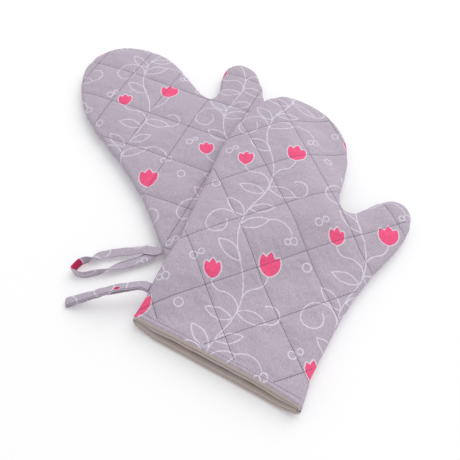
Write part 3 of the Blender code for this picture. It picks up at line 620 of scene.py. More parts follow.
def pad(plan, side, material):
    """The outer cloth of one half over its wadding: a quilted pad with a rolled hem."""
    coarse = plan.coarse
    roll = HEM_ROLLS[side]
    rim = RIM_ROWS * len(plan.base)
    points, cloth = face_points(plan, side, 0.0, plan.fine, True, roll)
    faces = half_faces(plan, plan.fine)
    line = cuff_line(plan, plan.fine[2])
    edge = points[line]
    start = line
    for inset, depth in LIP_PROFILE:
        row = edge.copy()
        row[:, 1] = plan.cuff_y + inset
        row[:, 2] = MID_HEIGHT + side * np.maximum(side * (edge[:, 2] - MID_HEIGHT) - depth, SEAM_GAP)
        points, cloth, start = add_row(points, cloth, faces, start, row, cloth[line] - (0.0, roll + depth))
    deep = face_points(plan, side, PAD_DEPTH, coarse, False, 0.0)[0]
    tucked(plan, deep, LIP_PROFILE[-1][0])
    offset = len(points)
    seam = list(range(1, len(plan.base) - 1))
    outer, inner = seam + start, [offset + i for i in seam + line]
    points = np.concatenate([points, deep])
    cloth = np.concatenate([cloth, cloth[:rim], coarse[0]])
    faces += half_faces(plan, coarse, offset)
    faces += [(outer[i - 1], outer[i], inner[i], inner[i - 1]) for i in (*range(1, len(outer)), 0)]
    name = f"{plan.name}_quilted_pad_{'top' if side > 0 else 'bottom'}"
    printed = cloth * (side, 1.0) + (0.0, 0.0 if side > 0 else BACK_PRINT_SHIFT)
    piece = make_piece(name, plan.place(points), faces, printed, material)
    fill_out(plan, side, piece, cloth, rim)
    subdivide(piece)
    return piece


def lining_slack(plan, side, cloth):
    """How far each place of the lining hangs off the wadding."""
    x = cloth[:, 0]
    into = cloth[:, 1] - plan.cuff_y
    free = smoothstep((distance_to(cloth, plan.seam) - EDGE_RADIUS) / LOOSE_REACH)
    behind = smoothstep((into - FOLD_START) / FOLD_RISE)
    behind = behind * np.exp(-np.maximum(into - FOLD_FADE_START, 0.0) / FOLD_FADE)
    fold = FOLD_MEAN + FOLD_WAVE * ripple(x, into * 0.4, FOLD_WAVE_SIZE, 7 + side)
    fold += FOLD_CREASE * ripple(x * 0.3, into, FOLD_CREASE_SIZE, 4)
    fold += GATHER * smoothstep((x - GATHER_START) / GATHER_REACH) * ripple(x, into * 0.5, GATHER_SIZE, 12)
    end = END_SLACK[side] + END_WAVE * ripple(x, 0.0, END_WAVE_SIZE, 5 + side)
    slack = end * np.exp(-into / END_REACH) + FOLD_SLACK[side] * behind * fold
    return free * (slack - FOLD_VALLEY[side] * np.exp(-((into - VALLEY_PLACE) / VALLEY_REACH) ** 2))


def lining(plan, side, material):
    """The lining of one half, turned up over the end of the wadding at the cuff."""
    coarse = plan.coarse
    points, cloth = face_points(plan, side, WALL, coarse, False, 0.0)
    faces = half_faces(plan, coarse)
    line = cuff_line(plan, coarse[2])
    edge = points[line]
    outside = face_points(plan, side, 0.0, coarse, False, 0.0)[0][line]
    tucked(plan, points, LINING_TUCK)
    slack = lining_slack(plan, side, cloth)
    points[:, 2] -= side * slack
    start = line
    roll = HEM_ROLLS[side]
    for number, (inset, share) in enumerate(LINING_ROLL):
        depth = roll + (WALL - roll) * share
        row = outside + (edge - outside) * (depth / WALL)
        row[:, 1] = plan.cuff_y + inset
        height = side * (row[:, 2] - MID_HEIGHT) - slack[line] * share
        row[:, 2] = MID_HEIGHT + side * np.maximum(height, 2.0 * SEAM_GAP)
        points, cloth, start = add_row(points, cloth, faces, start, row, cloth[line] - (0.0, WALL - depth))
        if number == GROOVE_ROW:
            plan.groove[side] = row
    name = f"{plan.name}_lining_cloth_{'top' if side > 0 else 'bottom'}"
    piece = make_piece(name, plan.place(points), faces, cloth, material)
    solid = piece.modifiers.new("cloth", 'SOLIDIFY')
    solid.thickness = LINING_THICKNESS
    solid.offset = 0.0
    apply_modifiers(piece)
    subdivide(piece)
    return piece


# Stitches

STITCH_PITCH = 0.0025
STITCH_LENGTH = 0.0024
STITCH_RADIUS = 0.00023
STITCH_SIDES = 6
STITCH_SHAPE = ((0.0, -0.9, 0.5), (0.12, 0.25, 0.9), (0.5, 0.7, 1.0), (0.88, 0.25, 0.9), (1.0, -0.9, 0.5))
CHANNEL_REACH = 0.40
CHANNEL_LINES = 5
CHANNEL_END = 0.0022
HEM_OVERLAP = 0.004


def tree_of(piece):
    faces = [face.vertices[:] for face in piece.data.polygons]
    return BVHTree.FromPolygons(vertex_places(piece.data).tolist(), faces)


def stitch_mesh(name, spots, material, faint=0):
    """Raised stitches, each from spot to spot with its surface normal, the first few in the pale thread."""
    points, faces = [], []
    sides = STITCH_SIDES
    for a, b, up in spots:
        along = (b - a).normalized()
        aside = along.cross(up).normalized()
        over = aside.cross(along)
        first = len(points)
        for t, height, swell in STITCH_SHAPE:
            middle = a.lerp(b, t) + over * (height * STITCH_RADIUS)
            for k in range(sides):
                angle = 2.0 * math.pi * k / sides
                points.append(middle + aside * (math.cos(angle) * STITCH_RADIUS * swell)
                              + over * (math.sin(angle) * STITCH_RADIUS * swell * 0.8))
        rings = len(STITCH_SHAPE)
        for ring in range(rings - 1):
            for k in range(sides):
                p = first + ring * sides + k
                q = first + ring * sides + (k + 1) % sides
                faces.append((p, q, q + sides, p + sides))
        faces.append([first + k for k in range(sides)][::-1])
        faces.append([first + (rings - 1) * sides + k for k in range(sides)])
    mesh = bpy.data.meshes.new(name)
    mesh.from_pydata([p[:] for p in points], [], faces)
    mesh.shade_smooth()
    mesh.materials.append(material)
    if faint:
        mesh.materials.append(pale_thread)
        pale = np.arange(len(faces)) < faint * len(faces) // len(spots)
        mesh.polygons.foreach_set("material_index", pale.astype(np.int32))
    return add_object(name, mesh)


def lay_stitches(plan, side, tree, starts, ends):
    """Drops pairs of places of the plan on to the half's outer face."""
    spots = []
    far = Vector((0.0, 0.0, side * 0.2))
    z = np.full(len(starts), MID_HEIGHT + side * (EDGE_HALF_DEPTH + CROWN - CHANNEL_DEPTH))
    a = plan.place(np.column_stack([starts, z]))
    b = plan.place(np.column_stack([ends, z]))
    for p, q in zip(a, b):
        hits = [tree.ray_cast(Vector((s[0], s[1], 0.0)) + far, -far) for s in (p, q)]
        if hits[0][0] is not None and hits[1][0] is not None:
            spots.append((hits[0][0], hits[1][0], (hits[0][1] + hits[1][1]).normalized()))
    return spots


def channel_stitches(plan, side, tree):
    loop = plan.base + plan.normal * CHANNEL_END
    starts, ends = [], []
    reach = np.arange(-CHANNEL_REACH, CHANNEL_REACH, STITCH_PITCH)
    centre = np.array([0.0, 0.5 * MITT_LENGTH])
    middle = plan.cells(centre[None])[0]
    for at, along, across in zip(middle, (plan.across, plan.along), (plan.along, plan.across)):
        for line in range(math.floor(at) - CHANNEL_LINES, math.ceil(at) + CHANNEL_LINES + 1):
            foot = plan.quilt + across * (line * QUILT_CELL)
            foot = foot + along * ((centre - foot) @ along)
            starts.append(foot + reach[:, None] * along)
            ends.append(foot + (reach + STITCH_LENGTH)[:, None] * along)
    starts, ends = np.concatenate(starts), np.concatenate(ends)
    middle = 0.5 * (starts + ends)
    kept = (middle[:, 1] > plan.cuff_y + HEM + MM) & inside(middle, loop)
    starts, ends = starts[kept], ends[kept]
    return lay_stitches(plan, side, tree, starts, ends)


def hem_stitches(plan, side, tree):
    """The stitches that hold the hem, how many they are, and after them those of the lining's groove."""
    x = np.arange(plan.ring[0, 0] - HEM_OVERLAP, plan.ring[-1, 0] + HEM_OVERLAP, STITCH_PITCH)
    y = np.full(len(x), plan.cuff_y + HEM)
    ends = np.column_stack([x + STITCH_LENGTH, y])
    laid = lay_stitches(plan, side, tree, np.column_stack([x, y]), ends)
    row = plan.groove[side] - (0.0, GROOVE_STITCH_RISE, 0.0)
    return laid + stitches_along(plan.place(row), Vector((plan.sin, -plan.cos, 0.0))), len(laid)


def stitches_along(path, up):
    """Stitches end to end along a path, all facing the same way."""
    length = lengths_along(path)
    starts = np.arange(0.0, length[-1] - STITCH_LENGTH, STITCH_PITCH)
    a, b = (places_along(path, length, at) for at in (starts, starts + STITCH_LENGTH))
    return [(Vector(p), Vector(q), up) for p, q in zip(a, b)]


def seam_stitches(plan):
    """The side seam's stitches, in the corner of the hand space."""
    corner = plan.base + plan.normal * EDGE_RADIUS
    return stitches_along(plan.place(np.column_stack([corner, np.full(len(corner), MID_HEIGHT)])),
                          Vector((0.0, 0.0, 1.0)))


# Hanging loops: half of the tape's section in shares of its half width and half thickness, with the
# groove of its stitching near the edge where it is folded shut
TAPE_SECTION = ((1.0, 0.0), (0.97, 0.55), (0.88, 0.92), (0.76, 0.60), (0.64, 0.96), (0.3, 1.08),
                (-0.2, 1.10), (-0.65, 1.04), (-0.90, 0.78), (-0.98, 0.45), (-1.0, 0.0))
TAPE_STEPS = 10
TAPE_GROOVE_SHARE = 0.76
TAPE_TUCK = 0.0006
TAPE_WAVER = 0.00035
TAPE_WAVER_SIZE = 0.011
TAPE_WAVER_SHIFT = 0.004
TAPE_FREE_REACH = 0.015


def loop_root(plan, above_cuff):
    """The place at the side seam where a loop leaves it, and the way out from there."""
    y = plan.cuff_y + above_cuff
    left = plan.seam[:len(plan.seam) // 2]
    side = min(np.interp(y + reach * TAPE_WIDTH, left[:, 1], left[:, 0]) for reach in (-0.5, 0.5))
    root = Vector(plan.place([(side - LOOP_SEAM_GAP, y, MID_HEIGHT)])[0])
    return root, Vector((-plan.cos, -plan.sin, 0.0))


def loop_spot(root, outward, turn, reach):
    """A place along a loop's middle line: straight out of the seam, and then turned aside."""
    aside = Matrix.Rotation(turn, 3, 'Z') @ outward
    return root + outward * min(reach, LOOP_LEAD) + aside * max(reach - LOOP_LEAD, 0.0)


def open_loop(root, outward):
    """The lower mitt's loop: its strands part, and the tape turns on edge for the tip and then over."""
    up = Vector((0.0, 0.0, 1.0))
    across = up.cross(Matrix.Rotation(UNDER_LOOP_TURN, 3, 'Z') @ outward)
    stack = 0.5 * (TAPE_THICKNESS + LAYER_GAP)
    rest = LOOP_FLOOR_GAP + 0.5 * TAPE_WIDTH
    strands = []
    for side in (1.0, -1.0):
        strand = []
        for t, spread in UNDER_LOOP_SHARES:
            spot = loop_spot(root, outward, UNDER_LOOP_TURN, UNDER_LOOP_LENGTH * t)
            spot -= across * (side * 0.5 * UNDER_LOOP_OPEN * spread)
            spot.y -= TIP_DROOP * smoothstep((t - TIP_DROOP_START) / (1.0 - TIP_DROOP_START))
            spot.z = root.z + (rest - root.z) * smoothstep(t / LOOP_EASE_SHARE)
            spot.z += side * stack * (1.0 - smoothstep(t / PARTING_SHARE - 1.0))
            strand.append(spot)
        strands.append(strand)
    tip = loop_spot(root, outward, UNDER_LOOP_TURN, UNDER_LOOP_LENGTH)
    tip.y -= TIP_DROOP
    tip.z = rest
    route = smooth_path(strands[0] + [tip] + strands[1][::-1], TAPE_STEPS)
    along = np.gradient(route, axis=0)
    along[0, :2] = outward.xy
    along[-1, :2] = -outward.xy
    along[:, 2] = 0.0
    along = unit(along)
    left = np.column_stack([-along[:, 1], along[:, 0], np.zeros(len(along))])
    share = np.linspace(0.0, 1.0, len(route))
    roll = np.zeros((len(route), 1))
    for angle, start, reach in ((TIP_ROLL, TWIST_START_SHARE, TWIST_SHARE),
                                (-LEAN_BACK, LEAN_START_SHARE, LEAN_SHARE),
                                (math.pi - TIP_ROLL + LEAN_BACK, BACK_TWIST_START_SHARE, BACK_TWIST_SHARE)):
        roll[:, 0] += angle * smoothstep((share - start) / reach)
    return route, left * np.cos(roll) + np.array(up) * np.sin(roll)


def flat_loop(root, outward):
    """The upper mitt's loop: one strand lies over the other, arched off the table to its tip."""
    up = Vector((0.0, 0.0, 1.0))
    across = up.cross(outward)
    turned = Matrix.Rotation(OVER_LOOP_TURN, 3, 'Z') @ across
    rest = LOOP_FLOOR_GAP + 0.5 * TAPE_THICKNESS + 0.5 * OVER_LOOP_OPEN
    strands, widths = [], []
    for side in (1.0, -1.0):
        strand, faces = [], []
        for t in OVER_LOOP_SHARES:
            ease = smoothstep(t / LOOP_EASE_SHARE)
            swell = math.sin(math.pi * t)
            apart = 0.5 * (TAPE_THICKNESS + LAYER_GAP)
            apart += (0.5 * OVER_LOOP_OPEN - apart) * ease
            spot = loop_spot(root, outward, OVER_LOOP_TURN, OVER_LOOP_LENGTH * t)
            spot.z = root.z + (rest - root.z) * smoothstep(t) + OVER_LOOP_ARCH * swell + side * apart
            if side < 0.0:
                spot.z -= OVER_LOOP_SAG * math.exp(-((t - OVER_LOOP_SAG_SHARE) / OVER_LOOP_SAG_REACH) ** 2)
            strand.append(spot)
            faces.append(across.lerp(turned, ease) + up * (OVER_LOOP_ROLL_SHARE * swell))
        strands.append(strand)
        widths.append(faces)
    tip = loop_spot(root, outward, OVER_LOOP_TURN, OVER_LOOP_LENGTH)
    tip.z = rest
    return (smooth_path(strands[0] + [tip] + strands[1][::-1], TAPE_STEPS),
            smooth_path(widths[0] + [turned] + widths[1][::-1], TAPE_STEPS))


def tape(name, route, widths, outward, flip, material):
    """A loop's folded tape along its route, given the direction of its width at each place."""
    route = np.concatenate([[route[0] - outward * TAPE_TUCK], route, [route[-1] - outward * TAPE_TUCK]])
    widths = unit(flip * np.concatenate([widths[:1], widths, widths[-1:]]))
    section = list(TAPE_SECTION) + [(w, -t) for w, t in TAPE_SECTION[-2:0:-1]]
    length = lengths_along(route)
    count = len(section)
    points, cloth, faces = [], [], []
    last = len(route) - 1
    for i, (spot, width, reach) in enumerate(zip(route, widths, length)):
        thick = unit(np.cross(route[min(i + 1, last)] - route[max(i - 1, 0)], width))
        free = float(smoothstep(min(reach, length[-1] - reach) / TAPE_FREE_REACH))
        for w, t in section:
            waver = TAPE_WAVER * free * float(ripple(reach, w * TAPE_WAVER_SHIFT, TAPE_WAVER_SIZE, 3))
            aside = w * 0.5 * TAPE_WIDTH + waver * abs(w)
            points.append(spot + width * aside + thick * (t * 0.5 * TAPE_THICKNESS))
            cloth.append(((1.0 - w) * (0.5 if t >= 0.0 else -0.5) * TAPE_WIDTH, reach))
    for i in range(last):
        for k in range(count):
            a, b = i * count + k, i * count + (k + 1) % count
            faces.append((a, b, b + count, a + count))
    faces += [list(range(count))[::-1], [last * count + k for k in range(count)]]
    piece = make_piece(name, points, faces, np.array(cloth), material)
    subdivide(piece)
    return piece


# Materials

def as_light(colour):
    """A colour as it looks, turned into the shader's own scale; none here is near black."""
    return tuple(((c / 255.0 + 0.055) / 1.055) ** 2.4 for c in colour) + (1.0,)


class Shader:
    """Short calls for a material's nodes."""

    def __init__(self, name):
        self.material = bpy.data.materials.new(name)
        self.material.use_nodes = True
        self.nodes = self.material.node_tree.nodes
        self.links = self.material.node_tree.links
        self.surface = self.nodes["Principled BSDF"]

    def put(self, socket, value):
        if isinstance(value, bpy.types.NodeSocket):
            self.links.new(value, socket)
        else:
            socket.default_value = value

    def worked_out(self, kind, operation, values):
        node = self.nodes.new(kind)
        node.operation = operation
        for socket, value in zip(node.inputs, values):
            self.put(socket, value)
        return node.outputs

    def math(self, operation, *values):
        return self.worked_out("ShaderNodeMath", operation, values)[0]

    def vector(self, operation, *values):
        output = "Value" if operation in ("LENGTH", "DISTANCE", "DOT_PRODUCT") else "Vector"
        return self.worked_out("ShaderNodeVectorMath", operation, values)[output]

    def parts(self, vector):
        node = self.nodes.new("ShaderNodeSeparateXYZ")
        self.put(node.inputs[0], vector)
        return node.outputs

    def swing(self, value, middle, size):
        """How far a value lies from its middle, times size."""
        return self.math('MULTIPLY', self.math('SUBTRACT', value, middle), size)

    def mix(self, factor, a, b):
        node = self.nodes.new("ShaderNodeMix")
        node.data_type = 'RGBA'
        for name, value in (("Factor_Float", factor), ("A_Color", a), ("B_Color", b)):
            self.put(next(s for s in node.inputs if s.identifier == name), value)
        return next(s for s in node.outputs if s.identifier == "Result_Color")

    def noise(self, vector, scale, detail=2.0):
        node = self.nodes.new("ShaderNodeTexNoise")
        self.put(node.inputs["Vector"], vector)
        self.put(node.inputs["Scale"], scale)
        self.put(node.inputs["Detail"], detail)
        return node.outputs["Fac"]

    def ramp(self, value, low, high):
        """0 below low and 1 above high."""
        node = self.nodes.new("ShaderNodeMapRange")
        node.clamp = True
        for socket, v in zip(node.inputs, (value, low, high, 0.0, 1.0)):
            self.put(socket, v)
        return node.outputs[0]

    def turned(self, vector, angle, shift=(0.0, 0.0, 0.0)):
        node = self.nodes.new("ShaderNodeMapping")
        node.vector_type = 'POINT'
        self.put(node.inputs["Vector"], vector)
        node.inputs["Location"].default_value = shift
        node.inputs["Rotation"].default_value = (0.0, 0.0, math.radians(angle))
        return node.outputs[0]

    def bump(self, height, strength, distance):
        node = self.nodes.new("ShaderNodeBump")
        node.inputs["Strength"].default_value = strength
        node.inputs["Distance"].default_value = distance
        self.put(node.inputs["Height"], height)
        self.put(self.surface.inputs["Normal"], node.outputs[0])

    def cloth(self):
        """The place on the cloth, in millimetres."""
        node = self.nodes.new("ShaderNodeUVMap")
        node.uv_map = "cloth"
        return self.stretched(node.outputs[0], 1.0 / MM, 1.0 / MM)

    def stretched(self, vector, x, y):
        return self.vector('MULTIPLY', vector, (x, y, 1.0))

    def slub(self, vector, along, across):
        """Uneven yarns in both directions, about 1."""
        return self.math('ADD', self.noise(self.stretched(vector, along, across), 1.0),
                         self.noise(self.stretched(vector, across, along), 1.0))

    def weave(self, vector, pitch):
        """A plain weave's height, from 0 to 1."""
        a, b = (self.math('SINE', self.math('MULTIPLY', part, math.pi / pitch))
                for part in self.parts(vector)[:2])
        return self.math('MULTIPLY_ADD', self.math('MULTIPLY', a, b), 0.5, 0.5)

    def coloured(self, colour, bright, roughness, specular):
        """The base colour, made lighter or darker all over by a number, and its gloss."""
        grey = self.nodes.new("ShaderNodeCombineXYZ")
        for socket in grey.inputs:
            self.put(socket, bright)
        self.put(self.surface.inputs["Base Color"], self.vector('MULTIPLY', colour, grey.outputs[0]))
        self.surface.inputs["Roughness"].default_value = roughness
        self.surface.inputs["Specular IOR Level"].default_value = specular


# The print: a generic climbing plant, in millimetres, on a tile that is repeated with a half drop

TILE = (104.0, 128.0)
LINE_WIDTH = 1.15
STEM_ARCS = (
    (-52.4, -32.0, 61.4, 0.0, 31.4), (52.4, 32.0, 61.4, 180.0, 31.4),
    (23.0, -32.0, 14.0, 145.0, 35.0), (13.4, -5.7, 14.0, 327.5, 37.5),
    (24.0, 29.5, 18.0, 70.0, 45.0), (36.6, -40.1, 9.0, 15.0, 115.0),
    (-25.0, 32.0, 16.0, 90.0, 90.0), (-31.0, 32.0, 10.0, 290.0, 110.0),
    (-7.0, -44.0, 15.0, 50.0, 50.0), (-11.3, -19.4, 10.0, 235.0, 45.0),
)
LEAVES = (
    (-9.0, 34.0, 25.0, 28.0, 11.0), (-4.0, 54.0, 20.0, 24.0, 9.0), (7.5, -44.0, -10.0, 28.0, 11.0),
    (0.0, 1.0, 150.0, 28.0, 11.0), (5.0, -52.0, 170.0, 26.0, 10.0), (-7.8, 46.0, 140.0, 26.0, 10.0),
)
RINGS = ((43.0, 33.0, 3.4), (37.5, 30.5, 2.6), (-42.0, -6.0, 3.4), (-36.0, -1.0, 2.6), (-44.0, -50.0, 4.0))
TULIPS = ((27.4, -4.5, 95.0, 22.0), (-21.1, -21.1, 100.0, 17.0))
PETAL_WIDTH_SHARE = 0.46
SIDE_PETAL_SHARE = 0.92
PETAL_SPREAD = 24.0
FAR_AWAY = 50.0
RIM_MIDDLE = 0.45


def heading(angle):
    return (math.cos(math.radians(angle)), math.sin(math.radians(angle)), 0.0)


def arc(s, vector, x, y, radius, middle, half):
    """Distance to an arc of a circle."""
    offset = s.vector('SUBTRACT', vector, (x, y, 0.0))
    length = s.vector('LENGTH', offset)
    away = s.math('ABSOLUTE', s.math('SUBTRACT', length, radius))
    facing = s.vector('DOT_PRODUCT', offset, heading(middle))
    beyond = s.math('LESS_THAN', facing, s.math('MULTIPLY', length, math.cos(math.radians(half))))
    return s.math('MULTIPLY_ADD', beyond, FAR_AWAY, away)


def leaf(s, vector, x, y, angle, length, width):
    """Signed distance to a pointed leaf, below 0 inside it."""
    ahead = heading(angle)
    radius = (length ** 2 + width ** 2) / (4.0 * width)
    gaps = []
    for side in (-1.0, 1.0):
        reach = side * (radius - 0.5 * width)
        centre = (x + ahead[0] * 0.5 * length - ahead[1] * reach,
                  y + ahead[1] * 0.5 * length + ahead[0] * reach, 0.0)
        gaps.append(s.vector('DISTANCE', vector, centre))
    return s.math('SUBTRACT', s.math('MAXIMUM', *gaps), radius)


def least(s, values):
    found = values[0]
    for value in values[1:]:
        found = s.math('MINIMUM', found, value)
    return found


def cloth_print(s, vector, ground):
    """The ground colour with the plant's lines and its pink flowers printed on it."""
    x, y = s.parts(vector)[:2]
    column = s.math('ROUND', s.math('DIVIDE', x, TILE[0]))
    drop = s.math('MULTIPLY', s.math('FLOORED_MODULO', column, 2.0), 0.5 * TILE[1])
    moved = s.nodes.new("ShaderNodeCombineXYZ")
    for socket, value, size in zip(moved.inputs, (x, s.math('ADD', y, drop)), TILE):
        s.put(socket, s.math('WRAP', value, 0.5 * size, -0.5 * size))
    spot = moved.outputs[0]
    gaps = [arc(s, spot, *row) for row in STEM_ARCS]
    gaps += [s.math('ABSOLUTE', leaf(s, spot, *row)) for row in LEAVES]
    for cx, cy, radius in RINGS:
        gaps.append(s.math('ABSOLUTE', s.math('SUBTRACT', s.vector('DISTANCE', spot, (cx, cy, 0.0)), radius)))
    petals = []
    for tx, ty, angle, size in TULIPS:
        petals.append(leaf(s, spot, tx, ty, angle, size, PETAL_WIDTH_SHARE * size))
        petals += [leaf(s, spot, tx, ty, angle + turn, SIDE_PETAL_SHARE * size, PETAL_WIDTH_SHARE * size)
                   for turn in (-PETAL_SPREAD, PETAL_SPREAD)]
    flower = least(s, petals)
    lines = s.ramp(least(s, gaps), 0.5 * LINE_WIDTH + 0.2, 0.5 * LINE_WIDTH - 0.2)
    rim = s.ramp(s.math('ABSOLUTE', s.math('SUBTRACT', flower, RIM_MIDDLE)), 0.75, 0.4)
    lines = s.math('MAXIMUM', lines, rim)
    worn = s.math('MULTIPLY', lines, s.ramp(s.noise(spot, 0.5), 0.15, 0.45))
    inked = s.ramp(flower, 0.25, -0.15)
    return s.mix(worn, s.mix(inked, ground, as_light(PINK)), as_light(PRINT_LINE))


# Shares by which yarns, clouds and grain lighten and darken the print's cloth, and weave pitches in
# millimetres
SLUB_TONE = 0.22
CLOUD_TONE = 0.12
GRAIN_TONE = 0.60
OUTER_YARN = 0.42
LINING_YARN = 0.5


def printed_cloth(name, angle, shift, patch=None):
    """Fine cotton with the print; patch makes it a loop's tape, sewn shut and with a pink print place whose
    deeper pink is partly painted shade of the fold.
    """
    s = Shader(name)
    place = s.cloth()
    yarn = s.turned(place, 45.0)
    slub = s.slub(yarn, 0.35, 2.2)
    tone = s.math('ADD', s.swing(slub, 1.0, SLUB_TONE), s.swing(s.noise(place, 0.05, 4.0), 0.5, CLOUD_TONE))
    grain = s.noise(s.stretched(yarn, 0.45, 1.1), 0.9, 1.0)
    tone = s.math('ADD', tone, s.swing(grain, 0.5, GRAIN_TONE))
    warmth = s.ramp(s.noise(s.stretched(yarn, 0.6, 1.4), 0.8), 0.3, 0.7)
    ground = s.mix(warmth, as_light(MAUVE_WARM), as_light(MAUVE_COOL))
    colour = cloth_print(s, s.turned(place, angle, shift), ground)
    if patch:
        x, y, width, length = patch
        offset = s.vector('SUBTRACT', place, (x, y, 0.0))
        spread = s.vector('LENGTH', s.vector('MULTIPLY', offset, (1.0 / width, 1.0 / length, 0.0)))
        colour = s.mix(s.ramp(spread, 1.15, 1.05), colour, as_light(PRINT_LINE))
        # The pink print place on the tape, its deeper pink partly painted shade
        colour = s.mix(s.ramp(spread, 0.98, 0.88), colour, as_light(DEEP_PINK_WITH_PAINTED_SHADE))
        aside, along = s.parts(place)[:2]
        groove = 0.5 * TAPE_WIDTH * (1.0 - TAPE_GROOVE_SHARE) / MM
        near = s.ramp(s.math('ABSOLUTE', s.math('SUBTRACT', aside, groove)), 0.34, 0.2)
        dash = s.math('LESS_THAN', s.math('WRAP', along, STITCH_PITCH / MM, 0.0), STITCH_LENGTH / MM)
        colour = s.mix(s.math('MULTIPLY', near, dash), colour, as_light(THREAD))
    s.coloured(colour, s.math('ADD', 1.0, tone), 0.88, 0.25)
    s.surface.inputs["Sheen Weight"].default_value = 0.08
    s.surface.inputs["Sheen Roughness"].default_value = 0.5
    s.bump(s.math('ADD', s.weave(yarn, OUTER_YARN), s.math('MULTIPLY', slub, 0.8)), 0.35, 0.00012)
    return s.material


def plain_cloth(name, colour):
    s = Shader(name)
    place = s.cloth()
    slub = s.slub(place, 0.3, 2.0)
    bright = s.math('MULTIPLY_ADD', s.math('SUBTRACT', slub, 1.0), 0.25, 1.0)
    s.coloured(as_light(colour)[:3], bright, 0.9, 0.2)
    s.bump(s.math('ADD', s.weave(place, LINING_YARN), slub), 0.4, 0.00015)
    return s.material


def thread_cloth(name, colour):
    s = Shader(name)
    place = s.nodes.new("ShaderNodeTexCoord").outputs["Object"]
    grain = s.noise(place, 2500.0)
    s.coloured(as_light(colour)[:3], s.math('MULTIPLY_ADD', grain, 0.5, 0.75), 0.6, 0.5)
    s.bump(grain, 0.3, 0.00005)
    return s.material


outer_cloth = {"under": printed_cloth("printed_cotton_under", 28.0, (22.0, 15.0, 0.0)),
               "over": printed_cloth("printed_cotton_over", -14.0, (-2.1, 41.0, 0.0))}
tape_cloth = {"under": printed_cloth("printed_tape_under", 90.0, (-8.0, 24.0, 0.0), (4.5, 85.5, 9.0, 7.2)),
              "over": printed_cloth("printed_tape_over", 90.0, (12.0, 24.0, 0.0), (3.4, 30.0, 1.7, 3.4))}
lining_cloth = plain_cloth("taupe_lining_cotton", TAUPE)
thread = thread_cloth("purple_grey_thread", THREAD)
pale_thread = thread_cloth("pale_thread", PALE_THREAD)


# The mitts

under = Plan("under", (0.0077, -0.0113), 21.6, UNDER_CUFF_EXTRA, UNDER_SLIM, UNDER_THUMB_DROP,
             (-0.0324, 0.2555), -46.2)
over = Plan("over", (-0.0144, -0.1355), -28.5, 0.0, 0.0, 0.0, (-0.1501, 0.1501), 49.1)
over.seat = under
over.sags = True
for plan in (under, over):
    plan.fine = plan.fill(CELL_STEPS)
    plan.coarse = plan.fill(COARSE_STEPS)
    body = plan.name + "_mitt"
    for side, half in ((1, "top"), (-1, "bottom")):
        shell = pad(plan, side, outer_cloth[plan.name])
        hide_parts(f"{plan.name}_outer_{half}", f"{plan.name}_wadding_{half}")
        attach(shell, body)
        inside_cloth = lining(plan, side, lining_cloth)
        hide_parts(f"{plan.name}_lining_{half}")
        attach(inside_cloth, body)
        tree = tree_of(shell)
        laid = channel_stitches(plan, side, tree)
        seams = stitch_mesh(f"{plan.name}_quilting_stitches_{half}", laid, thread)
        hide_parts(f"{plan.name}_quilting_thread_{half}")
        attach(seams, body)
        laid, faint = hem_stitches(plan, side, tree)
        hem = stitch_mesh(f"{plan.name}_hem_stitches_{half}", laid, thread, faint)
        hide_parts(f"{plan.name}_cuff_stitching_{half}")
        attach(hem, body)
    side_seam = stitch_mesh(f"{plan.name}_side_seam_stitches", seam_stitches(plan), thread)
    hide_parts(f"{plan.name}_side_seam_thread")
    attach(side_seam, body)
    if plan is under:
        root, outward = loop_root(plan, UNDER_LOOP_ROOT)
        route, widths = open_loop(root, outward)
        length, flip = UNDER_LOOP_LENGTH, -1.0
    else:
        root, outward = loop_root(plan, OVER_LOOP_ROOT)
        route, widths = flat_loop(root, outward)
        length, flip = OVER_LOOP_LENGTH, 1.0
    loop = tape(f"{plan.name}_loop_tape", route, widths, np.array(outward), flip, tape_cloth[plan.name])
    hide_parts(f"{plan.name}_hanging_loop")
    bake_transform(loop)


# Floor, light and camera: the strengths of the floor's glow for background rays and of the world, the
# one lamp above and behind, and the camera at the photograph's viewing angle

FLOOR_HALF_WIDTH = 6.0
FLOOR_DEPTH = -0.0001
FLOOR_GLOW = 0.065
WORLD_LEVEL = 0.68
KEY_WATTS = 104.0
KEY_SIZE = 4.6
KEY_PLACE = (1.9, 2.5, 3.4)
CAMERA_PLACE = (-0.00062, -0.32253, 0.43434)
CAMERA_TILT = math.radians(32.5)
CAMERA_LENS = 39.91
CAMERA_SENSOR = 36.0


def background_rays(tree):
    """1 for the rays that show the background: straight to the camera, off metal and through glass."""
    path = tree.nodes.new("ShaderNodeLightPath").outputs
    shown = path["Is Camera Ray"]
    for name in ("Is Glossy Ray", "Is Transmission Ray"):
        either = tree.nodes.new("ShaderNodeMath")
        either.operation = 'MAXIMUM'
        tree.links.new(shown, either.inputs[0])
        tree.links.new(path[name], either.inputs[1])
        shown = either.outputs[0]
    return shown


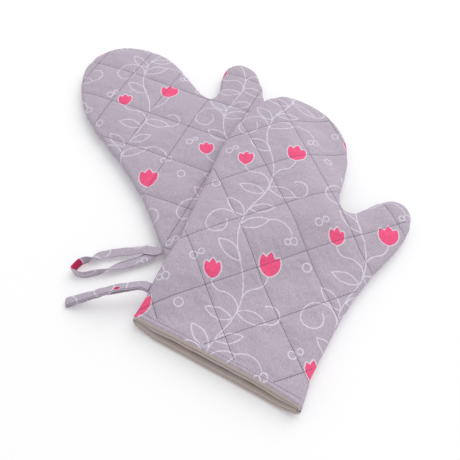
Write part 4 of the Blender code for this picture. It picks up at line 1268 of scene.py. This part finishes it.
def flat_material(name):
    """A pale floor that keeps its shadows and shows a little whiter than the light on it makes it."""
    s = Shader(name)
    s.nodes.remove(s.surface)
    diffuse = s.nodes.new("ShaderNodeBsdfDiffuse")
    diffuse.inputs["Color"].default_value = as_light(FLOOR)
    glow = s.nodes.new("ShaderNodeEmission")
    shown = background_rays(s.material.node_tree)
    s.put(glow.inputs["Strength"], s.math('MULTIPLY', shown, FLOOR_GLOW))
    both = s.nodes.new("ShaderNodeAddShader")
    s.links.new(diffuse.outputs[0], both.inputs[0])
    s.links.new(glow.outputs[0], both.inputs[1])
    s.links.new(both.outputs[0], s.nodes["Material Output"].inputs["Surface"])
    return s.material


floor_mesh = bpy.data.meshes.new("floor")
corners = [(x * FLOOR_HALF_WIDTH, y * FLOOR_HALF_WIDTH, FLOOR_DEPTH)
           for x, y in ((-1, -1), (1, -1), (1, 1), (-1, 1))]
floor_mesh.from_pydata(corners, [], [(0, 1, 2, 3)])
floor_mesh.materials.append(flat_material("pale_floor"))
floor = add_object("floor", floor_mesh)

world = bpy.data.worlds.new("studio")
bpy.context.scene.world = world
world.use_nodes = True
tree = world.node_tree
level = tree.nodes.new("ShaderNodeMix")
level.data_type = 'FLOAT'
level.inputs[2].default_value = WORLD_LEVEL
level.inputs[3].default_value = 1.0
tree.links.new(background_rays(tree), level.inputs[0])
background = tree.nodes["Background"]
background.inputs["Color"].default_value = (1.0, 1.0, 1.0, 1.0)
tree.links.new(level.outputs[0], background.inputs["Strength"])

key = add_object("key", bpy.data.lights.new("key", 'AREA'))
key.data.shape = 'DISK'
key.data.size = KEY_SIZE
key.data.energy = KEY_WATTS
key.location = KEY_PLACE
key.rotation_euler = (-Vector(key.location)).to_track_quat('-Z', 'Y').to_euler()

camera = add_object("camera", bpy.data.cameras.new("camera"))
camera.data.lens = CAMERA_LENS
camera.data.sensor_width = CAMERA_SENSOR
camera.location = CAMERA_PLACE
camera.rotation_euler = (CAMERA_TILT, 0.0, 0.0)
bpy.context.scene.camera = camera
bpy.context.scene.view_settings.view_transform = 'Standard'
